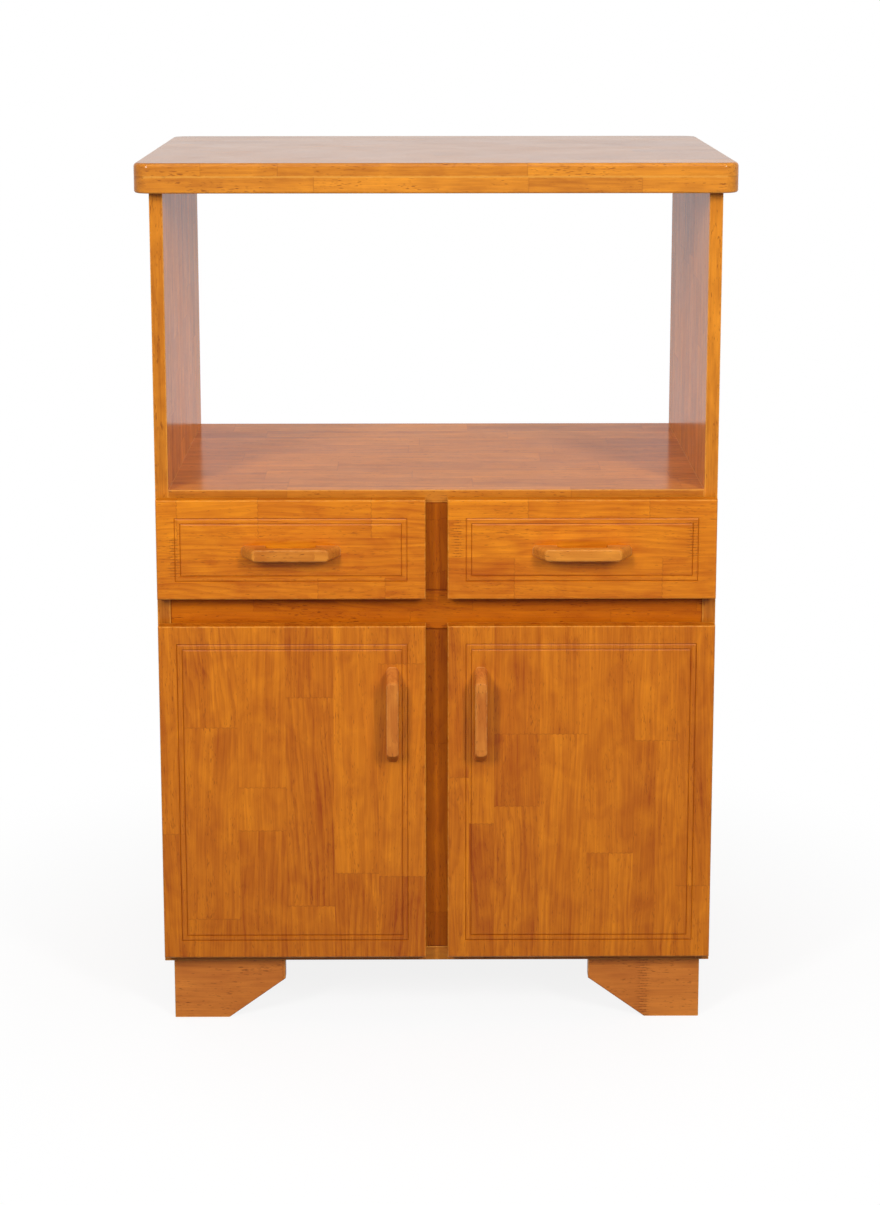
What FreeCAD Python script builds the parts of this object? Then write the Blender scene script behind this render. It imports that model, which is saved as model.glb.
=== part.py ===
"""Microwave stand with two drawers over a two-door cupboard.

World frame: X to the right, Y from front to back, Z up.  The stand rests on Z = 0 and the
origin is at the middle of its footprint, door handles included.  All sizes are millimetres.
"""
import FreeCAD, Part
import os
import re

import Sketcher
from FreeCAD import Placement, Rotation, Vector

# ----------------------------------------------------------------------------------------
# Driving sizes: alias, value, meaning
# ----------------------------------------------------------------------------------------
SIZES = [
    ("total_height", 900, "floor to top face"),
    ("top_width", 600, "top, left to right"),
    ("overhang_front", 20, "top past the carcass front"),
    ("overhang_back", 18, "top past the carcass back"),
    ("top_corner", 17, "radius of the top's upright corners"),
    ("top_arris", 4, "radius round the top's upper edge"),
    ("edging_arris", 2.5, "radius round the edging's lower edge"),
    ("edging_height", 16.5, "strips glued under the rim of the top"),
    ("edging_width", 48, "width of those strips"),
    ("board", 13.5, "thickness of panels, rails and stiles"),
    ("overhang_side", 14, "top past each side panel"),
    ("shelf_level", 568, "upper face of the oven shelf"),
    ("shelf_thickness", 13, "oven shelf"),
    ("bottom_level", 64, "underside of the bottom board, which is the foot height"),
    ("bottom_thickness", 15, "bottom board"),
    ("drawer_opening", 91.5, "room for the drawers between shelf and rail"),
    ("rail_height", 41, "rail between drawers and doors"),
    ("stile_width", 28, "stiles between the drawers and between the doors"),
    ("edge_round", 0.8, "eased edges of panels"),
    ("back_thickness", 4, "plywood back"),
    ("back_inset", 8, "back panel in from the carcass back"),
    ("back_groove", 5, "depth of the groove that holds the back"),
    ("back_play", 0.1, "play of the back in its groove, each side"),
    ("front_gap", 2.5, "closed fronts off the carcass"),
    ("front_thickness", 15, "door and drawer fronts"),
    ("front_inset", 1.5, "fronts in from the carcass side"),
    ("centre_gap", 22, "between left and right fronts"),
    ("shelf_reveal", 7, "shelf edge seen over the drawer fronts"),
    ("rail_overlap_drawer", 5.8, "drawer fronts over the rail"),
    ("rail_overlap_door", 7.3, "doors over the rail"),
    ("bottom_reveal", 9.3, "bottom edge seen under the doors"),
    ("front_arris", 2, "rounded front edges of doors and drawer fronts"),
    ("line_outer", 18.5, "outer routed line in from the edge of a front"),
    ("line_inner", 24, "inner routed line in from the edge of a front"),
    ("line_width", 2.1, "width of a routed line"),
    ("line_slope", 0.5, "width of its steep outer wall"),
    ("line_depth", 0.8, "depth of a routed line"),
    ("handle_length", 101, "handle along its base"),
    ("handle_flat", 77, "handle along its outer face"),
    ("handle_width", 12.8, "handle across"),
    ("handle_reach", 22, "handle off the front it is fixed to"),
    ("handle_bar", 9, "thickness of the handle's grip at its middle"),
    ("handle_foot", 24.8, "length of each seat of a handle"),
    ("handle_round", 2.4, "rounded edges round a handle's outer face"),
    ("handle_end_round", 4.4, "rounded edges of a handle's sloping ends"),
    ("handle_gap_round", 6, "inner corners of the finger gap"),
    ("handle_drop", 1.6, "drawer handle below the middle of its front"),
    ("door_handle_inset", 34.2, "door handle from the door's inner edge"),
    ("door_handle_drop", 93.5, "middle of the door handle below the door's top"),
    ("foot_inset", 9.5, "feet in from the carcass side"),
    ("foot_setback", 2, "feet in from the carcass front and back"),
    ("foot_length", 117, "foot along its top edge"),
    ("foot_bottom", 58, "foot along the floor"),
    ("foot_end", 21.5, "upright end of a foot"),
    ("foot_thickness", 16, "foot board"),
    ("foot_round", 1.5, "eased edges of the feet"),
    ("block_size", 30, "glue block behind a foot"),
    ("block_lift", 8, "glue block off the floor"),
    ("dowel_diameter", 8, "dowel"),
    ("dowel_length", 30, "dowel"),
    ("dowel_in_panel", 10, "dowel's part in a side panel"),
    ("dowel_play", 0.06, "radial play of a dowel"),
    ("dowel_end_play", 0.5, "bore past each end of a dowel"),
    ("dowel_setback", 50, "dowels in from front and back edges"),
    ("dowel_spacing", 20, "dowels apart in the end of a rail"),
    ("box_side", 11, "drawer box sides, front and back"),
    ("box_height", 70, "drawer box"),
    ("box_lift", 9.5, "underside of the drawer box over the rail's upper edge"),
    ("box_length", 352, "drawer box, front to back"),
    ("box_rear_gap", 27, "room between a drawer box and the rear rail"),
    ("box_bottom", 3, "drawer bottom"),
    ("box_bottom_lift", 8, "drawer bottom above the box underside"),
    ("box_groove", 5, "depth of the groove that holds the drawer bottom"),
    ("box_play", 0.1, "play of the drawer bottom in its groove"),
    ("runner_sheet", 1.2, "steel of the runners"),
    ("runner_setback", 18, "cabinet runner behind the carcass front"),
    ("runner_length", 350, "cabinet runner"),
    ("runner_rear_gap", 8.5, "room between a cabinet runner and the rear rail"),
    ("roller_diameter", 17.4, "runner rollers"),
    ("roller_width", 7.6, "runner rollers"),
    ("roller_gap", 0.3, "roller off the track it runs on"),
    ("roller_side_play", 0.5, "roller off the sheet beside it"),
    ("runner_play", 1.4, "roller pins off the other half of the runner"),
    ("roller_setback", 12, "roller axis from the runner's end"),
    ("roller_pin", 5, "diameter of a roller's pin"),
    ("roller_pin_play", 0.06, "radial play on a roller's pin"),
    ("track_play", 1.2, "cabinet runner's upper flange over the drawer runner"),
    ("track_lip", 8.6, "width of the cabinet runner's flanges"),
    ("track_start", 2, "cabinet runner's floor behind its roller"),
    ("rail_side", 14, "drawer runner up the side of the box"),
    ("rail_setback", 3, "drawer runner behind the front end of the box"),
    ("rail_clear", 2, "drawer runner off the wall beside it"),
    ("roller_tab", 5, "drawer runner round its roller pin"),
    ("pin_end", 0.6, "roller pins past their rollers"),
    ("batten_height", 34, "packing strips that carry the inner runners"),
    ("partition_drop", 23, "board between the drawers below the rail's upper edge"),
    ("cup_diameter", 35, "hinge cup"),
    ("cup_floor_play", 1.1, "hinge arm off the floor of its cup"),
    ("cup_wall", 0.8, "hinge cup"),
    ("cup_edge", 3, "hinge cup from the door's edge"),
    ("cup_flange", 0.9, "flange of the hinge cup"),
    ("cup_flange_width", 16, "flange across"),
    ("cup_flange_reach", 31, "flange ends from the cup's middle"),
    ("cup_wall_play", 0.7, "hinge arm off the wall of its cup"),
    ("hinge_deep", 7, "hinge axis from the door's back"),
    ("hinge_pin", 1.9, "diameter of the hinge pin"),
    ("hinge_pin_play", 0.05, "radial play on the hinge pin"),
    ("lug_thickness", 1.5, "ears that hold the hinge pin"),
    ("lug_reach", 1.6, "ear round the hinge pin"),
    ("knuckle_width", 6.4, "arm where it turns on the pin"),
    ("knuckle_play", 0.4, "arm off the ears beside it"),
    ("knuckle_wall", 0.5, "arm round the hinge pin"),
    ("arm_clear", 8.5, "arm's neck from the hinge axis"),
    ("arm_drop", 2.6, "arm's neck below the hinge axis"),
    ("arm_slope", 0.5, "fall of the arm between hinge pin and neck"),
    ("arm_start", 4, "arm's wide part behind the carcass front"),
    ("arm_neck", 4.2, "thickness of the arm's neck"),
    ("arm_width", 15, "arm on its plate"),
    ("arm_length", 58, "arm behind the carcass front"),
    ("arm_height", 6.5, "arm off its plate"),
    ("plate_thickness", 4.2, "mounting plate"),
    ("plate_length", 30, "mounting plate, front to back"),
    ("plate_height", 48, "mounting plate, over its screws"),
    ("plate_setback", 37, "screw line of the plate behind the carcass front"),
    ("hinge_from_end", 75, "hinges from the door's top and bottom edges"),
    ("screw_diameter", 4, "screws"),
    ("screw_head", 8, "screw heads"),
    ("screw_head_height", 2.4, "screw heads"),
    ("screw_play", 0.1, "radial play round a screw"),
    ("screw_bite", 12, "screw into a handle"),
    ("plate_screw_bite", 9, "screw into a side panel"),
    ("screw_spacing", 32, "plate screws apart"),
    ("cup_screw_spacing", 48, "cup screws apart"),
    ("cup_screw_bite", 8, "screw into a door"),
    ("bumper_diameter", 5, "door bumpers"),
    ("bumper_play", 0.3, "door bumpers off the carcass"),
    ("bumper_inset", 20, "bumpers from the door's inner edge"),
]

# Places worked out from the driving sizes; each may use the ones above it.
PLACES = {
    # depths: the drawer box and the runners settle how deep the carcass is
    "box_room": "box_length - front_gap + box_rear_gap",
    "runner_room": "runner_setback + runner_length + runner_rear_gap",
    "carcass_depth": "max(box_room; runner_room) + board + back_thickness + back_inset",
    "front_reach": "front_gap + front_thickness + handle_reach",
    "front_y": "(front_reach - carcass_depth - overhang_back) / 2",
    "rear_y": "front_y + carcass_depth",
    "face_y": "front_y - front_gap - front_thickness",
    "front_back_y": "front_y - front_gap",
    "board_back_y": "front_y + board",
    # widths, measured from the middle of the stand
    "side_out": "top_width / 2 - overhang_side",
    "side_in": "side_out - board",
    "stile_half": "stile_width / 2",
    "front_out": "side_out - front_inset",
    "front_in": "centre_gap / 2",
    "front_middle": "(front_out + front_in) / 2",
    # heights
    "top_level": "total_height - board - edging_height",
    "shelf_under": "shelf_level - shelf_thickness",
    "rail_level": "shelf_under - drawer_opening",
    "rail_under": "rail_level - rail_height",
    "bottom_top": "bottom_level + bottom_thickness",
    "drawer_low": "rail_level - rail_overlap_drawer",
    "drawer_high": "shelf_level - shelf_reveal",
    "door_low": "bottom_level + bottom_reveal",
    "door_high": "rail_under + rail_overlap_door",
    # carcass back
    "back_front_y": "rear_y - back_inset - back_thickness",
    "rear_rail_y": "back_front_y - board",
    # drawer box, with room for its runners on both sides
    "roller_reach": "runner_sheet + roller_side_play + roller_width + pin_end",
    "runner_width": "roller_reach + runner_play + runner_sheet",
    "box_level": "rail_level + box_lift",
    "box_out": "side_in - runner_width",
    "box_in": "stile_half + runner_width",
    "box_front_y": "front_back_y",
    "box_end_y": "box_front_y + box_length",
    # runners
    "lip_under": "box_level - runner_sheet",
    "roller_radius": "roller_diameter / 2",
    "roller_z": "lip_under - roller_gap - roller_radius",
    "track_floor": "roller_z - roller_radius - roller_gap",
    "runner_front_y": "front_y + runner_setback",
    "runner_end_y": "runner_front_y + runner_length",
    "front_roller_y": "runner_front_y + roller_setback",
    "rear_roller_y": "box_end_y - roller_setback",
    "track_top": "box_level + track_play",
    # hinges
    "knuckle_radius": "hinge_pin / 2 + hinge_pin_play + knuckle_wall",
    "hinge_x": "front_out - cup_edge - cup_wall - cup_wall_play - knuckle_radius",
    "hinge_y": "front_back_y - hinge_deep",
    "cup_depth": "hinge_deep + arm_drop + cup_floor_play + cup_wall",
    "cup_x": "front_out - cup_edge - cup_diameter / 2",
    "hinge_pin_length": "knuckle_width + 2 * knuckle_play + 2 * lug_thickness",
    "plate_x": "side_in - plate_thickness",
    "screw_radius": "screw_diameter / 2",
    "screw_hole": "screw_diameter / 2 + screw_play",
    # handles
    "drawer_handle_z": "(drawer_low + drawer_high) / 2 - handle_drop",
    "door_handle_x": "front_in + door_handle_inset",
    "door_handle_z": "door_high - door_handle_drop",
    "handle_seat": "handle_length / 2 - handle_foot / 2",
}
ALIASES = {alias for alias, _, _ in SIZES}
LEFT, RIGHT = -1, 1
AXIS_TURN = {  # a cylinder starts along Z
    "X": Rotation(Vector(0, 1, 0), 90),
    "Y": Rotation(Vector(1, 0, 0), -90),
    "Z": Rotation(),
}

doc = FreeCAD.newDocument("MicrowaveStand")
sheet = doc.addObject("Spreadsheet::Sheet", "Dims")
for row, (alias, size, meaning) in enumerate(SIZES, start=1):
    sheet.set(f"A{row}", alias.replace("_", " "))
    sheet.set(f"B{row}", str(size))
    sheet.set(f"C{row}", meaning)
    sheet.setAlias(f"B{row}", alias)
doc.recompute()


# ----------------------------------------------------------------------------------------
# Helpers
# ----------------------------------------------------------------------------------------
def formula(text):
    """The text as an expression: places are spelt out and sizes point to the sheet."""
    def spell(word):
        name = word[0]
        if name in PLACES:
            return "(" + formula(PLACES[name]) + ")"
        return "Dims." + name if name in ALIASES else name
    return re.sub(r"[a-z_]+", spell, str(text))


def value(text):
    """The formula's present value, as a plain number."""
    found = sheet.evalExpression(formula(text))
    return float(getattr(found, "Value", found))


def bind(item, **properties):
    """Bind properties to formulas; two underscores stand for a dot."""
    for name, text in properties.items():
        item.setExpression(name.replace("__", "."), formula(text))
    return item


def place(item, x, y, z, turn=None):
    """Put an item's own origin at three bound places, turned by a rotation."""
    item.Placement = Placement(Vector(), turn or Rotation())
    return bind(item, Placement__Base__x=x, Placement__Base__y=y, Placement__Base__z=z)


def box(name, x, y, z):
    """A box from pairs of formulas (low, high) along each axis."""
    item = doc.addObject("Part::Box", name)
    bind(item, Length=f"({x[1]}) - ({x[0]})", Width=f"({y[1]}) - ({y[0]})",
         Height=f"({z[1]}) - ({z[0]})")
    return place(item, x[0], y[0], z[0])


def rod(name, radius, length, axis, x, y, z):
    """A cylinder that starts at x, y, z and runs along the named axis."""
    item = doc.addObject("Part::Cylinder", name)
    bind(item, Radius=radius, Height=length)
    return place(item, x, y, z, AXIS_TURN[axis])


def joined(kind, name, items):
    """Fuse or compound of several items."""
    item = doc.addObject(kind, name)
    if kind == "Part::Compound":
        item.Links = items
    else:
        item.Shapes = items
    return item


def fuse(name, *items):
    """One solid from several."""
    return joined("Part::MultiFuse", name, list(items))


def group(name, *items):
    """Separate solids kept in one sub-part."""
    return joined("Part::Compound", name, list(items))


def cut(name, base, *tools):
    """The base with every tool taken out of it."""
    if not tools:
        return base
    item = doc.addObject("Part::Cut", name)
    item.Base = base
    item.Tool = tools[0] if len(tools) == 1 else group(name + "_tools", *tools)
    return item


def mirror(item, name):
    """A mirrored copy on the other side of the stand."""
    copy = doc.addObject("Part::Mirroring", name)
    copy.Source = item
    copy.Normal = Vector(1, 0, 0)
    copy.Base = Vector(0, 0, 0)
    return copy


def span(side, inner, outer):
    """Low and high x of a stretch between two distances from the middle."""
    return (inner, outer) if side == RIGHT else (f"-({outer})", f"-({inner})")


def origin_plane(body, role):
    """One of a body's own origin planes."""
    return next(f for f in body.Origin.OriginFeatures if f.Role == role)


def outline(body, name, role, corners):
    """A closed outline of straight lines whose corners are held by bound distances."""
    sketch = body.newObject("Sketcher::SketchObject", name)
    sketch.AttachmentSupport = [(origin_plane(body, role), "")]
    sketch.MapMode = "FlatFace"
    points = [Vector(value(u), value(v), 0) for u, v in corners]
    for index, point in enumerate(points):
        sketch.addGeometry(Part.LineSegment(point, points[(index + 1) % len(points)]), False)
    for index, (u, v) in enumerate(corners):
        following = (index + 1) % len(corners)
        sketch.addConstraint(Sketcher.Constraint("Coincident", index, 2, following, 1))
        for kind, text in (("DistanceX", u), ("DistanceY", v)):
            number = sketch.addConstraint(
                Sketcher.Constraint(kind, -1, 1, index, 1, value(text)))
            sketch.setExpression(f"Constraints[{number}]", formula(text))
    return sketch


def pad(body, sketch, length, midplane=False):
    """Pad a sketch by a bound length."""
    feature = body.newObject("PartDesign::Pad", sketch.Name + "_pad")
    feature.Profile = sketch
    feature.Midplane = midplane
    bind(feature, Length=length)
    doc.recompute()
    return feature


def round_edges(body, radius, wanted):
    """Fillet every edge of the body's tip whose middle point and direction are wanted."""
    base = body.Tip
    names = []
    for number, edge in enumerate(base.Shape.Edges, start=1):
        middle = edge.valueAt((edge.FirstParameter + edge.LastParameter) / 2)
        way = edge.tangentAt(edge.FirstParameter)
        if wanted(middle, way):
            names.append(f"Edge{number}")
    feature = body.newObject("PartDesign::Fillet", f"{body.Name}_round_{len(body.Group)}")
    feature.Base = (base, names)
    bind(feature, Radius=radius)
    doc.recompute()
    return feature


def new_body(name):
    """An empty body."""
    return doc.addObject("PartDesign::Body", name)


def along(way, axis):
    """Whether a direction runs along an axis: 0 for X, 1 for Y, 2 for Z."""
    return abs(way[axis]) > 0.999


def near(one, other):
    """Whether two lengths are the same."""
    return abs(one - other) < 0.01


def slab(name, x, y, z, radius="edge_round", wanted=None):
    """A board with eased long edges, from pairs of formulas along each axis."""
    body = new_body(name)
    corners = [(x[0], z[0]), (x[1], z[0]), (x[1], z[1]), (x[0], z[1])]
    sketch = outline(body, name + "_outline", "XZ_Plane", corners)
    feature = pad(body, sketch, f"({y[1]}) - ({y[0]})")
    feature.Reversed = True
    body.Placement = Placement()
    bind(body, Placement__Base__y=y[0])
    doc.recompute()
    if wanted:
        round_edges(body, radius, wanted)
    return body


def export(name, item):
    """Keep an item as a sub-part under the name of its file."""
    item.Label = name
    SUBPARTS[name] = item


SUBPARTS = {}
BORES = {}  # holes that each board gets, by the board's name


# ----------------------------------------------------------------------------------------
# Dowels
# ----------------------------------------------------------------------------------------
DOWELS = []
STEP = {"X": (1, 0, 0), "Y": (0, 1, 0), "Z": (0, 0, 1)}


def dowel(axis, x, y, z, *boards):
    """A dowel that starts at x, y, z, and its hole in each of the boards it joins."""
    number = len(DOWELS) + 1
    DOWELS.append(rod(f"dowel_{number}", "dowel_diameter / 2", "dowel_length", axis, x, y, z))
    start = [f"({at}) - {step} * dowel_end_play" for at, step in zip((x, y, z), STEP[axis])]
    hole = rod(f"dowel_hole_{number}", "dowel_diameter / 2 + dowel_play",
               "dowel_length + 2 * dowel_end_play", axis, *start)
    for board in boards:
        BORES.setdefault(board, []).append(hole)


def end_dowels(board, y, z):
    """One dowel at each end of a board that stands between the side panels."""
    for side, panel in ((LEFT, "side_panel_left"), (RIGHT, "side_panel_right")):
        ends = span(side, "side_in + dowel_in_panel - dowel_length", "side_in + dowel_in_panel")
        dowel("X", ends[0], y, z, panel, board)


def bored(name, base, *tools):
    """Keep a board as a sub-part once its dowel holes and other cuts are made."""
    export(name, cut(name + "_cut", base, *tools, *BORES.get(name, [])))


# ----------------------------------------------------------------------------------------
# Top
# ----------------------------------------------------------------------------------------
def rounded_plate(name, x, y, z, corners, arris, face):
    """A plate with rounded upright corners and a rounded edge round one of its faces.

    corners picks the upright edges to round; face says which level has the rounded edge
    and which of its edges are left sharp.
    """
    body = new_body(name)
    outline_points = [(x[0], y[0]), (x[1], y[0]), (x[1], y[1]), (x[0], y[1])]
    pad(body, outline(body, name + "_outline", "XY_Plane", outline_points),
        f"({z[1]}) - ({z[0]})")
    bind(body, Placement__Base__z=z[0])
    doc.recompute()
    if corners:
        round_edges(body, "top_corner",
                    lambda middle, way: along(way, 2) and corners(middle))
    round_edges(body, arris, face)
    return body


def build_top():
    """Top board and the edging strips glued under its rim."""
    x = ("-top_width / 2", "top_width / 2")
    y = ("front_y - overhang_front", "rear_y + overhang_back")
    lower = ("top_level", "top_level + edging_height")
    upper = ("top_level + edging_height", "total_height")
    board_top = value(upper[1]) - value(upper[0])
    export("top_board", rounded_plate(
        "top_board", x, y, upper, lambda middle: True, "top_arris",
        lambda middle, way: near(middle.z, board_top)))

    front = (y[0], f"{y[0]} + edging_width")
    back = (f"{y[1]} - edging_width", y[1])
    for name, reach, outer in (("top_edging_front", front, 0), ("top_edging_back", back, 1)):
        outside = value(reach[outer])
        inside = value(reach[1 - outer])
        export(name, rounded_plate(
            name, x, reach, lower,
            lambda middle, level=outside: near(middle.y, level), "edging_arris",
            lambda middle, way, level=inside: near(middle.z, 0) and not near(middle.y, level)))

    strips = []
    for side, word in ((LEFT, "left"), (RIGHT, "right")):
        reach = span(side, "top_width / 2 - edging_width", "top_width / 2")
        name = f"top_edging_{word}"
        outside = value("top_width / 2") * side
        strip = rounded_plate(
            name + "_body", reach, (front[1], back[0]), lower, None, "edging_arris",
            lambda middle, way, edge=outside: near(middle.z, 0) and near(middle.x, edge))
        middle_x = f"{side} * (side_in + board / 2)"
        for at in (f"{y[0]} + overhang_front + dowel_setback",
                   f"{y[1]} - overhang_back - dowel_setback"):
            dowel("Z", middle_x, at, "top_level + dowel_in_panel - dowel_length",
                  "top_edging_sides_" + word, f"side_panel_{word}")
        strips.append(cut(name, strip, *BORES["top_edging_sides_" + word]))
    export("top_edging_sides", group("edging_sides", *strips))


# ----------------------------------------------------------------------------------------
# Carcass
# ----------------------------------------------------------------------------------------
def front_edges(level):
    """Picks the edges that lie at one distance from front to back."""
    return lambda middle, way: near(middle.y, level)


def build_carcass():
    """Side panels, shelf, bottom, rails, stiles, partition and back."""
    across = ("-side_in", "side_in")
    deep = ("front_y", "rear_y")
    half = ("-stile_half", "stile_half")
    front_board = ("front_y", "board_back_y")
    rail = ("rail_under", "rail_level")
    front_dowel, rear_dowel = "front_y + dowel_setback", "rear_y - dowel_setback"

    for at in (front_dowel, rear_dowel):
        end_dowels("shelf_board", at, "shelf_level - shelf_thickness / 2")
        end_dowels("bottom_board", at, "bottom_level + bottom_thickness / 2")
    for step in ("-", "+"):
        height = f"rail_level - rail_height / 2 {step} dowel_spacing / 2"
        end_dowels("mid_rail", "front_y + board / 2", height)
        end_dowels("rear_rail", "rear_rail_y + board / 2", height)
    stile_y = "front_y + board / 2"
    sunk, raised = "dowel_in_panel - dowel_length", "- dowel_in_panel"
    dowel("Z", "0", stile_y, f"shelf_under + {sunk}", "shelf_board", "drawer_stile")
    dowel("Z", "0", stile_y, f"rail_level {raised}", "mid_rail", "drawer_stile")
    dowel("Z", "0", stile_y, f"rail_under + {sunk}", "mid_rail", "door_stile")
    dowel("Z", "0", stile_y, f"bottom_top {raised}", "bottom_board", "door_stile")
    dowel("Y", "0", f"board_back_y {raised}", "(rail_level + shelf_under) / 2",
          "drawer_stile", "drawer_partition")
    dowel("Y", "0", f"rear_rail_y + {sunk}", "rail_level - partition_drop / 2",
          "drawer_partition", "rear_rail")

    for side, word in ((LEFT, "left"), (RIGHT, "right")):
        name = f"side_panel_{word}"
        panel = slab(name + "_board", span(side, "side_in", "side_out"), deep,
                     ("bottom_level", "top_level"), wanted=lambda middle, way: along(way, 2))
        groove = box(name + "_groove", span(side, "side_in", "side_in + back_groove"),
                     ("back_front_y - back_play", "back_front_y + back_thickness + back_play"),
                     ("bottom_top", "shelf_under"))
        bored(name, panel, groove)
    # The outlines below lie in each board's own plane, with its front at zero.
    eased = front_edges(0)
    bored("shelf_board", slab("shelf", across, deep, ("shelf_under", "shelf_level"),
                              wanted=eased))
    bored("bottom_board", slab("bottom", across, deep, ("bottom_level", "bottom_top"),
                               wanted=eased))
    bored("mid_rail", slab("rail", across, front_board, rail, wanted=eased))
    bored("rear_rail", slab("rear_rail_board", across, ("rear_rail_y", "back_front_y"), rail))
    bored("drawer_stile", slab("drawer_stile_board", half, front_board,
                               ("rail_level", "shelf_under"), wanted=eased))
    bored("door_stile", slab("door_stile_board", half, front_board,
                             ("bottom_top", "rail_under"), wanted=eased))
    bored("drawer_partition", box(
        "partition", ("-board / 2", "board / 2"), ("board_back_y", "rear_rail_y"),
        ("rail_level - partition_drop", "shelf_under")))
    tongue = "side_in + back_groove - back_play"
    export("back_panel", box("back", (f"-({tongue})", tongue),
                             ("back_front_y", "back_front_y + back_thickness"),
                             ("bottom_top", "shelf_under")))
    middle = "(track_floor + track_top) / 2"
    export("runner_battens", group("battens", *[
        box(f"batten_{word}", span(side, "board / 2", "stile_half"),
            ("board_back_y", "rear_rail_y"),
            (f"{middle} - batten_height / 2", f"{middle} + batten_height / 2"))
        for side, word in ((LEFT, "left"), (RIGHT, "right"))]))
    export("dowels", group("dowel_set", *DOWELS))


def build_feet():
    """Four bracket feet, each with a glue block in its corner."""
    outer = "side_out - foot_inset"
    corners = [(outer, "0"), (outer, "bottom_level"),
               (f"{outer} - foot_length", "bottom_level"),
               (f"{outer} - foot_length", "bottom_level - foot_end"),
               (f"{outer} - foot_bottom", "0")]
    block_x = (f"{outer} - block_size", outer)
    block_z = ("block_lift", "bottom_level")
    front = "front_y + foot_setback"
    back = "rear_y - foot_setback"
    blocks = []
    for word, start, seen, block_y in (
            ("front", front, 0, (f"{front} + foot_thickness",
                                 f"{front} + foot_thickness + block_size")),
            ("rear", f"{back} - foot_thickness", 1,
             (f"{back} - foot_thickness - block_size", f"{back} - foot_thickness"))):
        body = new_body(f"{word}_foot")
        foot = pad(body, outline(body, f"{word}_foot_outline", "XZ_Plane", corners),
                   "foot_thickness")
        foot.Reversed = True
        bind(body, Placement__Base__y=start)
        doc.recompute()
        level = seen * value("foot_thickness")
        top = value("bottom_level")
        round_edges(body, "foot_round", lambda middle, way, level=level, top=top:
                    near(middle.y, level) and not near(middle.z, top)
                    and not near(middle.z, 0))
        export(f"{word}_foot_right", body)
        export(f"{word}_foot_left", mirror(body, f"{word}_foot_mirror"))
        block = box(f"{word}_block", block_x, block_y, block_z)
        blocks += [block, mirror(block, f"{word}_block_mirror")]
    export("foot_blocks", group("blocks", *blocks))


# ----------------------------------------------------------------------------------------
# Fronts and handles
# ----------------------------------------------------------------------------------------
def frustum(name, x, z, base_in, depth_in):
    """A sunk block from the fronts' face inwards, drawn in at the face and at its depth."""
    item = doc.addObject("Part::Wedge", name)
    bind(item, Xmin=f"{x[0]} + {base_in}", Xmax=f"{x[1]} - {base_in}",
         Zmin=f"{z[0]} + {base_in}", Zmax=f"{z[1]} - {base_in}",
         X2min=f"{x[0]} + {depth_in}", X2max=f"{x[1]} - {depth_in}",
         Z2min=f"{z[0]} + {depth_in}", Z2max=f"{z[1]} - {depth_in}", Ymin="0",
         Ymax="line_depth")
    return place(item, "0", "face_y", "0")


def routed_line(name, z, inset):
    """The cutter for one routed line: a steep outer wall and a slope towards the middle."""
    x = (f"front_in + {inset}", f"front_out - {inset}")
    z = (f"{z[0]} + {inset}", f"{z[1]} - {inset}")
    return cut(name, frustum(name + "_block", x, z, "0", "line_slope"),
               frustum(name + "_island", x, z, "line_width", "line_slope"))


def front_panel(name, z, *tools):
    """A door or drawer front with rounded front edges and two routed lines."""
    body = slab(name + "_board", ("front_in", "front_out"), ("face_y", "front_back_y"), z,
                "front_arris", front_edges(0))
    return cut(name + "_panel", body, routed_line(name + "_line_outer", z, "line_outer"),
               routed_line(name + "_line_inner", z, "line_inner"), *tools)


def handle(name):
    """A bow handle along X, seated on Y = 0 and reaching towards -Y."""
    body = new_body(name)
    corners = [("-handle_length / 2", "0"), ("-handle_flat / 2", "-handle_reach"),
               ("handle_flat / 2", "-handle_reach"), ("handle_length / 2", "0")]
    pad(body, outline(body, name + "_outline", "XY_Plane", corners), "handle_width", True)
    reach = value("handle_reach")
    round_edges(body, "handle_end_round", lambda middle, way:
                not near(middle.y, 0) and not near(middle.y, -reach) and near(way.z, 0))
    round_edges(body, "handle_round", lambda middle, way: near(middle.y, -reach))
    # The finger gap runs flat behind the grip and bends out at the seats.
    bend = "handle_gap_round"
    rise = "(handle_reach - handle_bar)"
    half = "(handle_length / 2 - handle_foot)"
    tall = ("-handle_width", "handle_width")
    bends = [rod(f"{name}_gap_bend_{word}", bend, "2 * handle_width", "Z",
                 f"{side} * ({half} - {bend})", f"{bend} - {rise}", "-handle_width")
             for word, side in (("left", LEFT), ("right", RIGHT))]
    gap = fuse(name + "_gap", *bends,
               box(name + "_gap_flat", (f"{bend} - {half}", f"{half} - {bend}"),
                   (f"-{rise}", bend), tall),
               box(name + "_gap_mouth", (f"-{half}", half), (f"{bend} - {rise}", bend), tall))
    return cut(name + "_bow", body, gap)


def screw(name, y_point, y_seat, x, z):
    """A screw along Y with its head on the far side of what it holds."""
    shank = rod(name + "_shank", "screw_radius", f"({y_seat}) - ({y_point})", "Y", x, y_point, z)
    head = rod(name + "_head", "screw_head / 2", "screw_head_height", "Y", x, y_seat, z)
    return fuse(name, shank, head)


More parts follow.
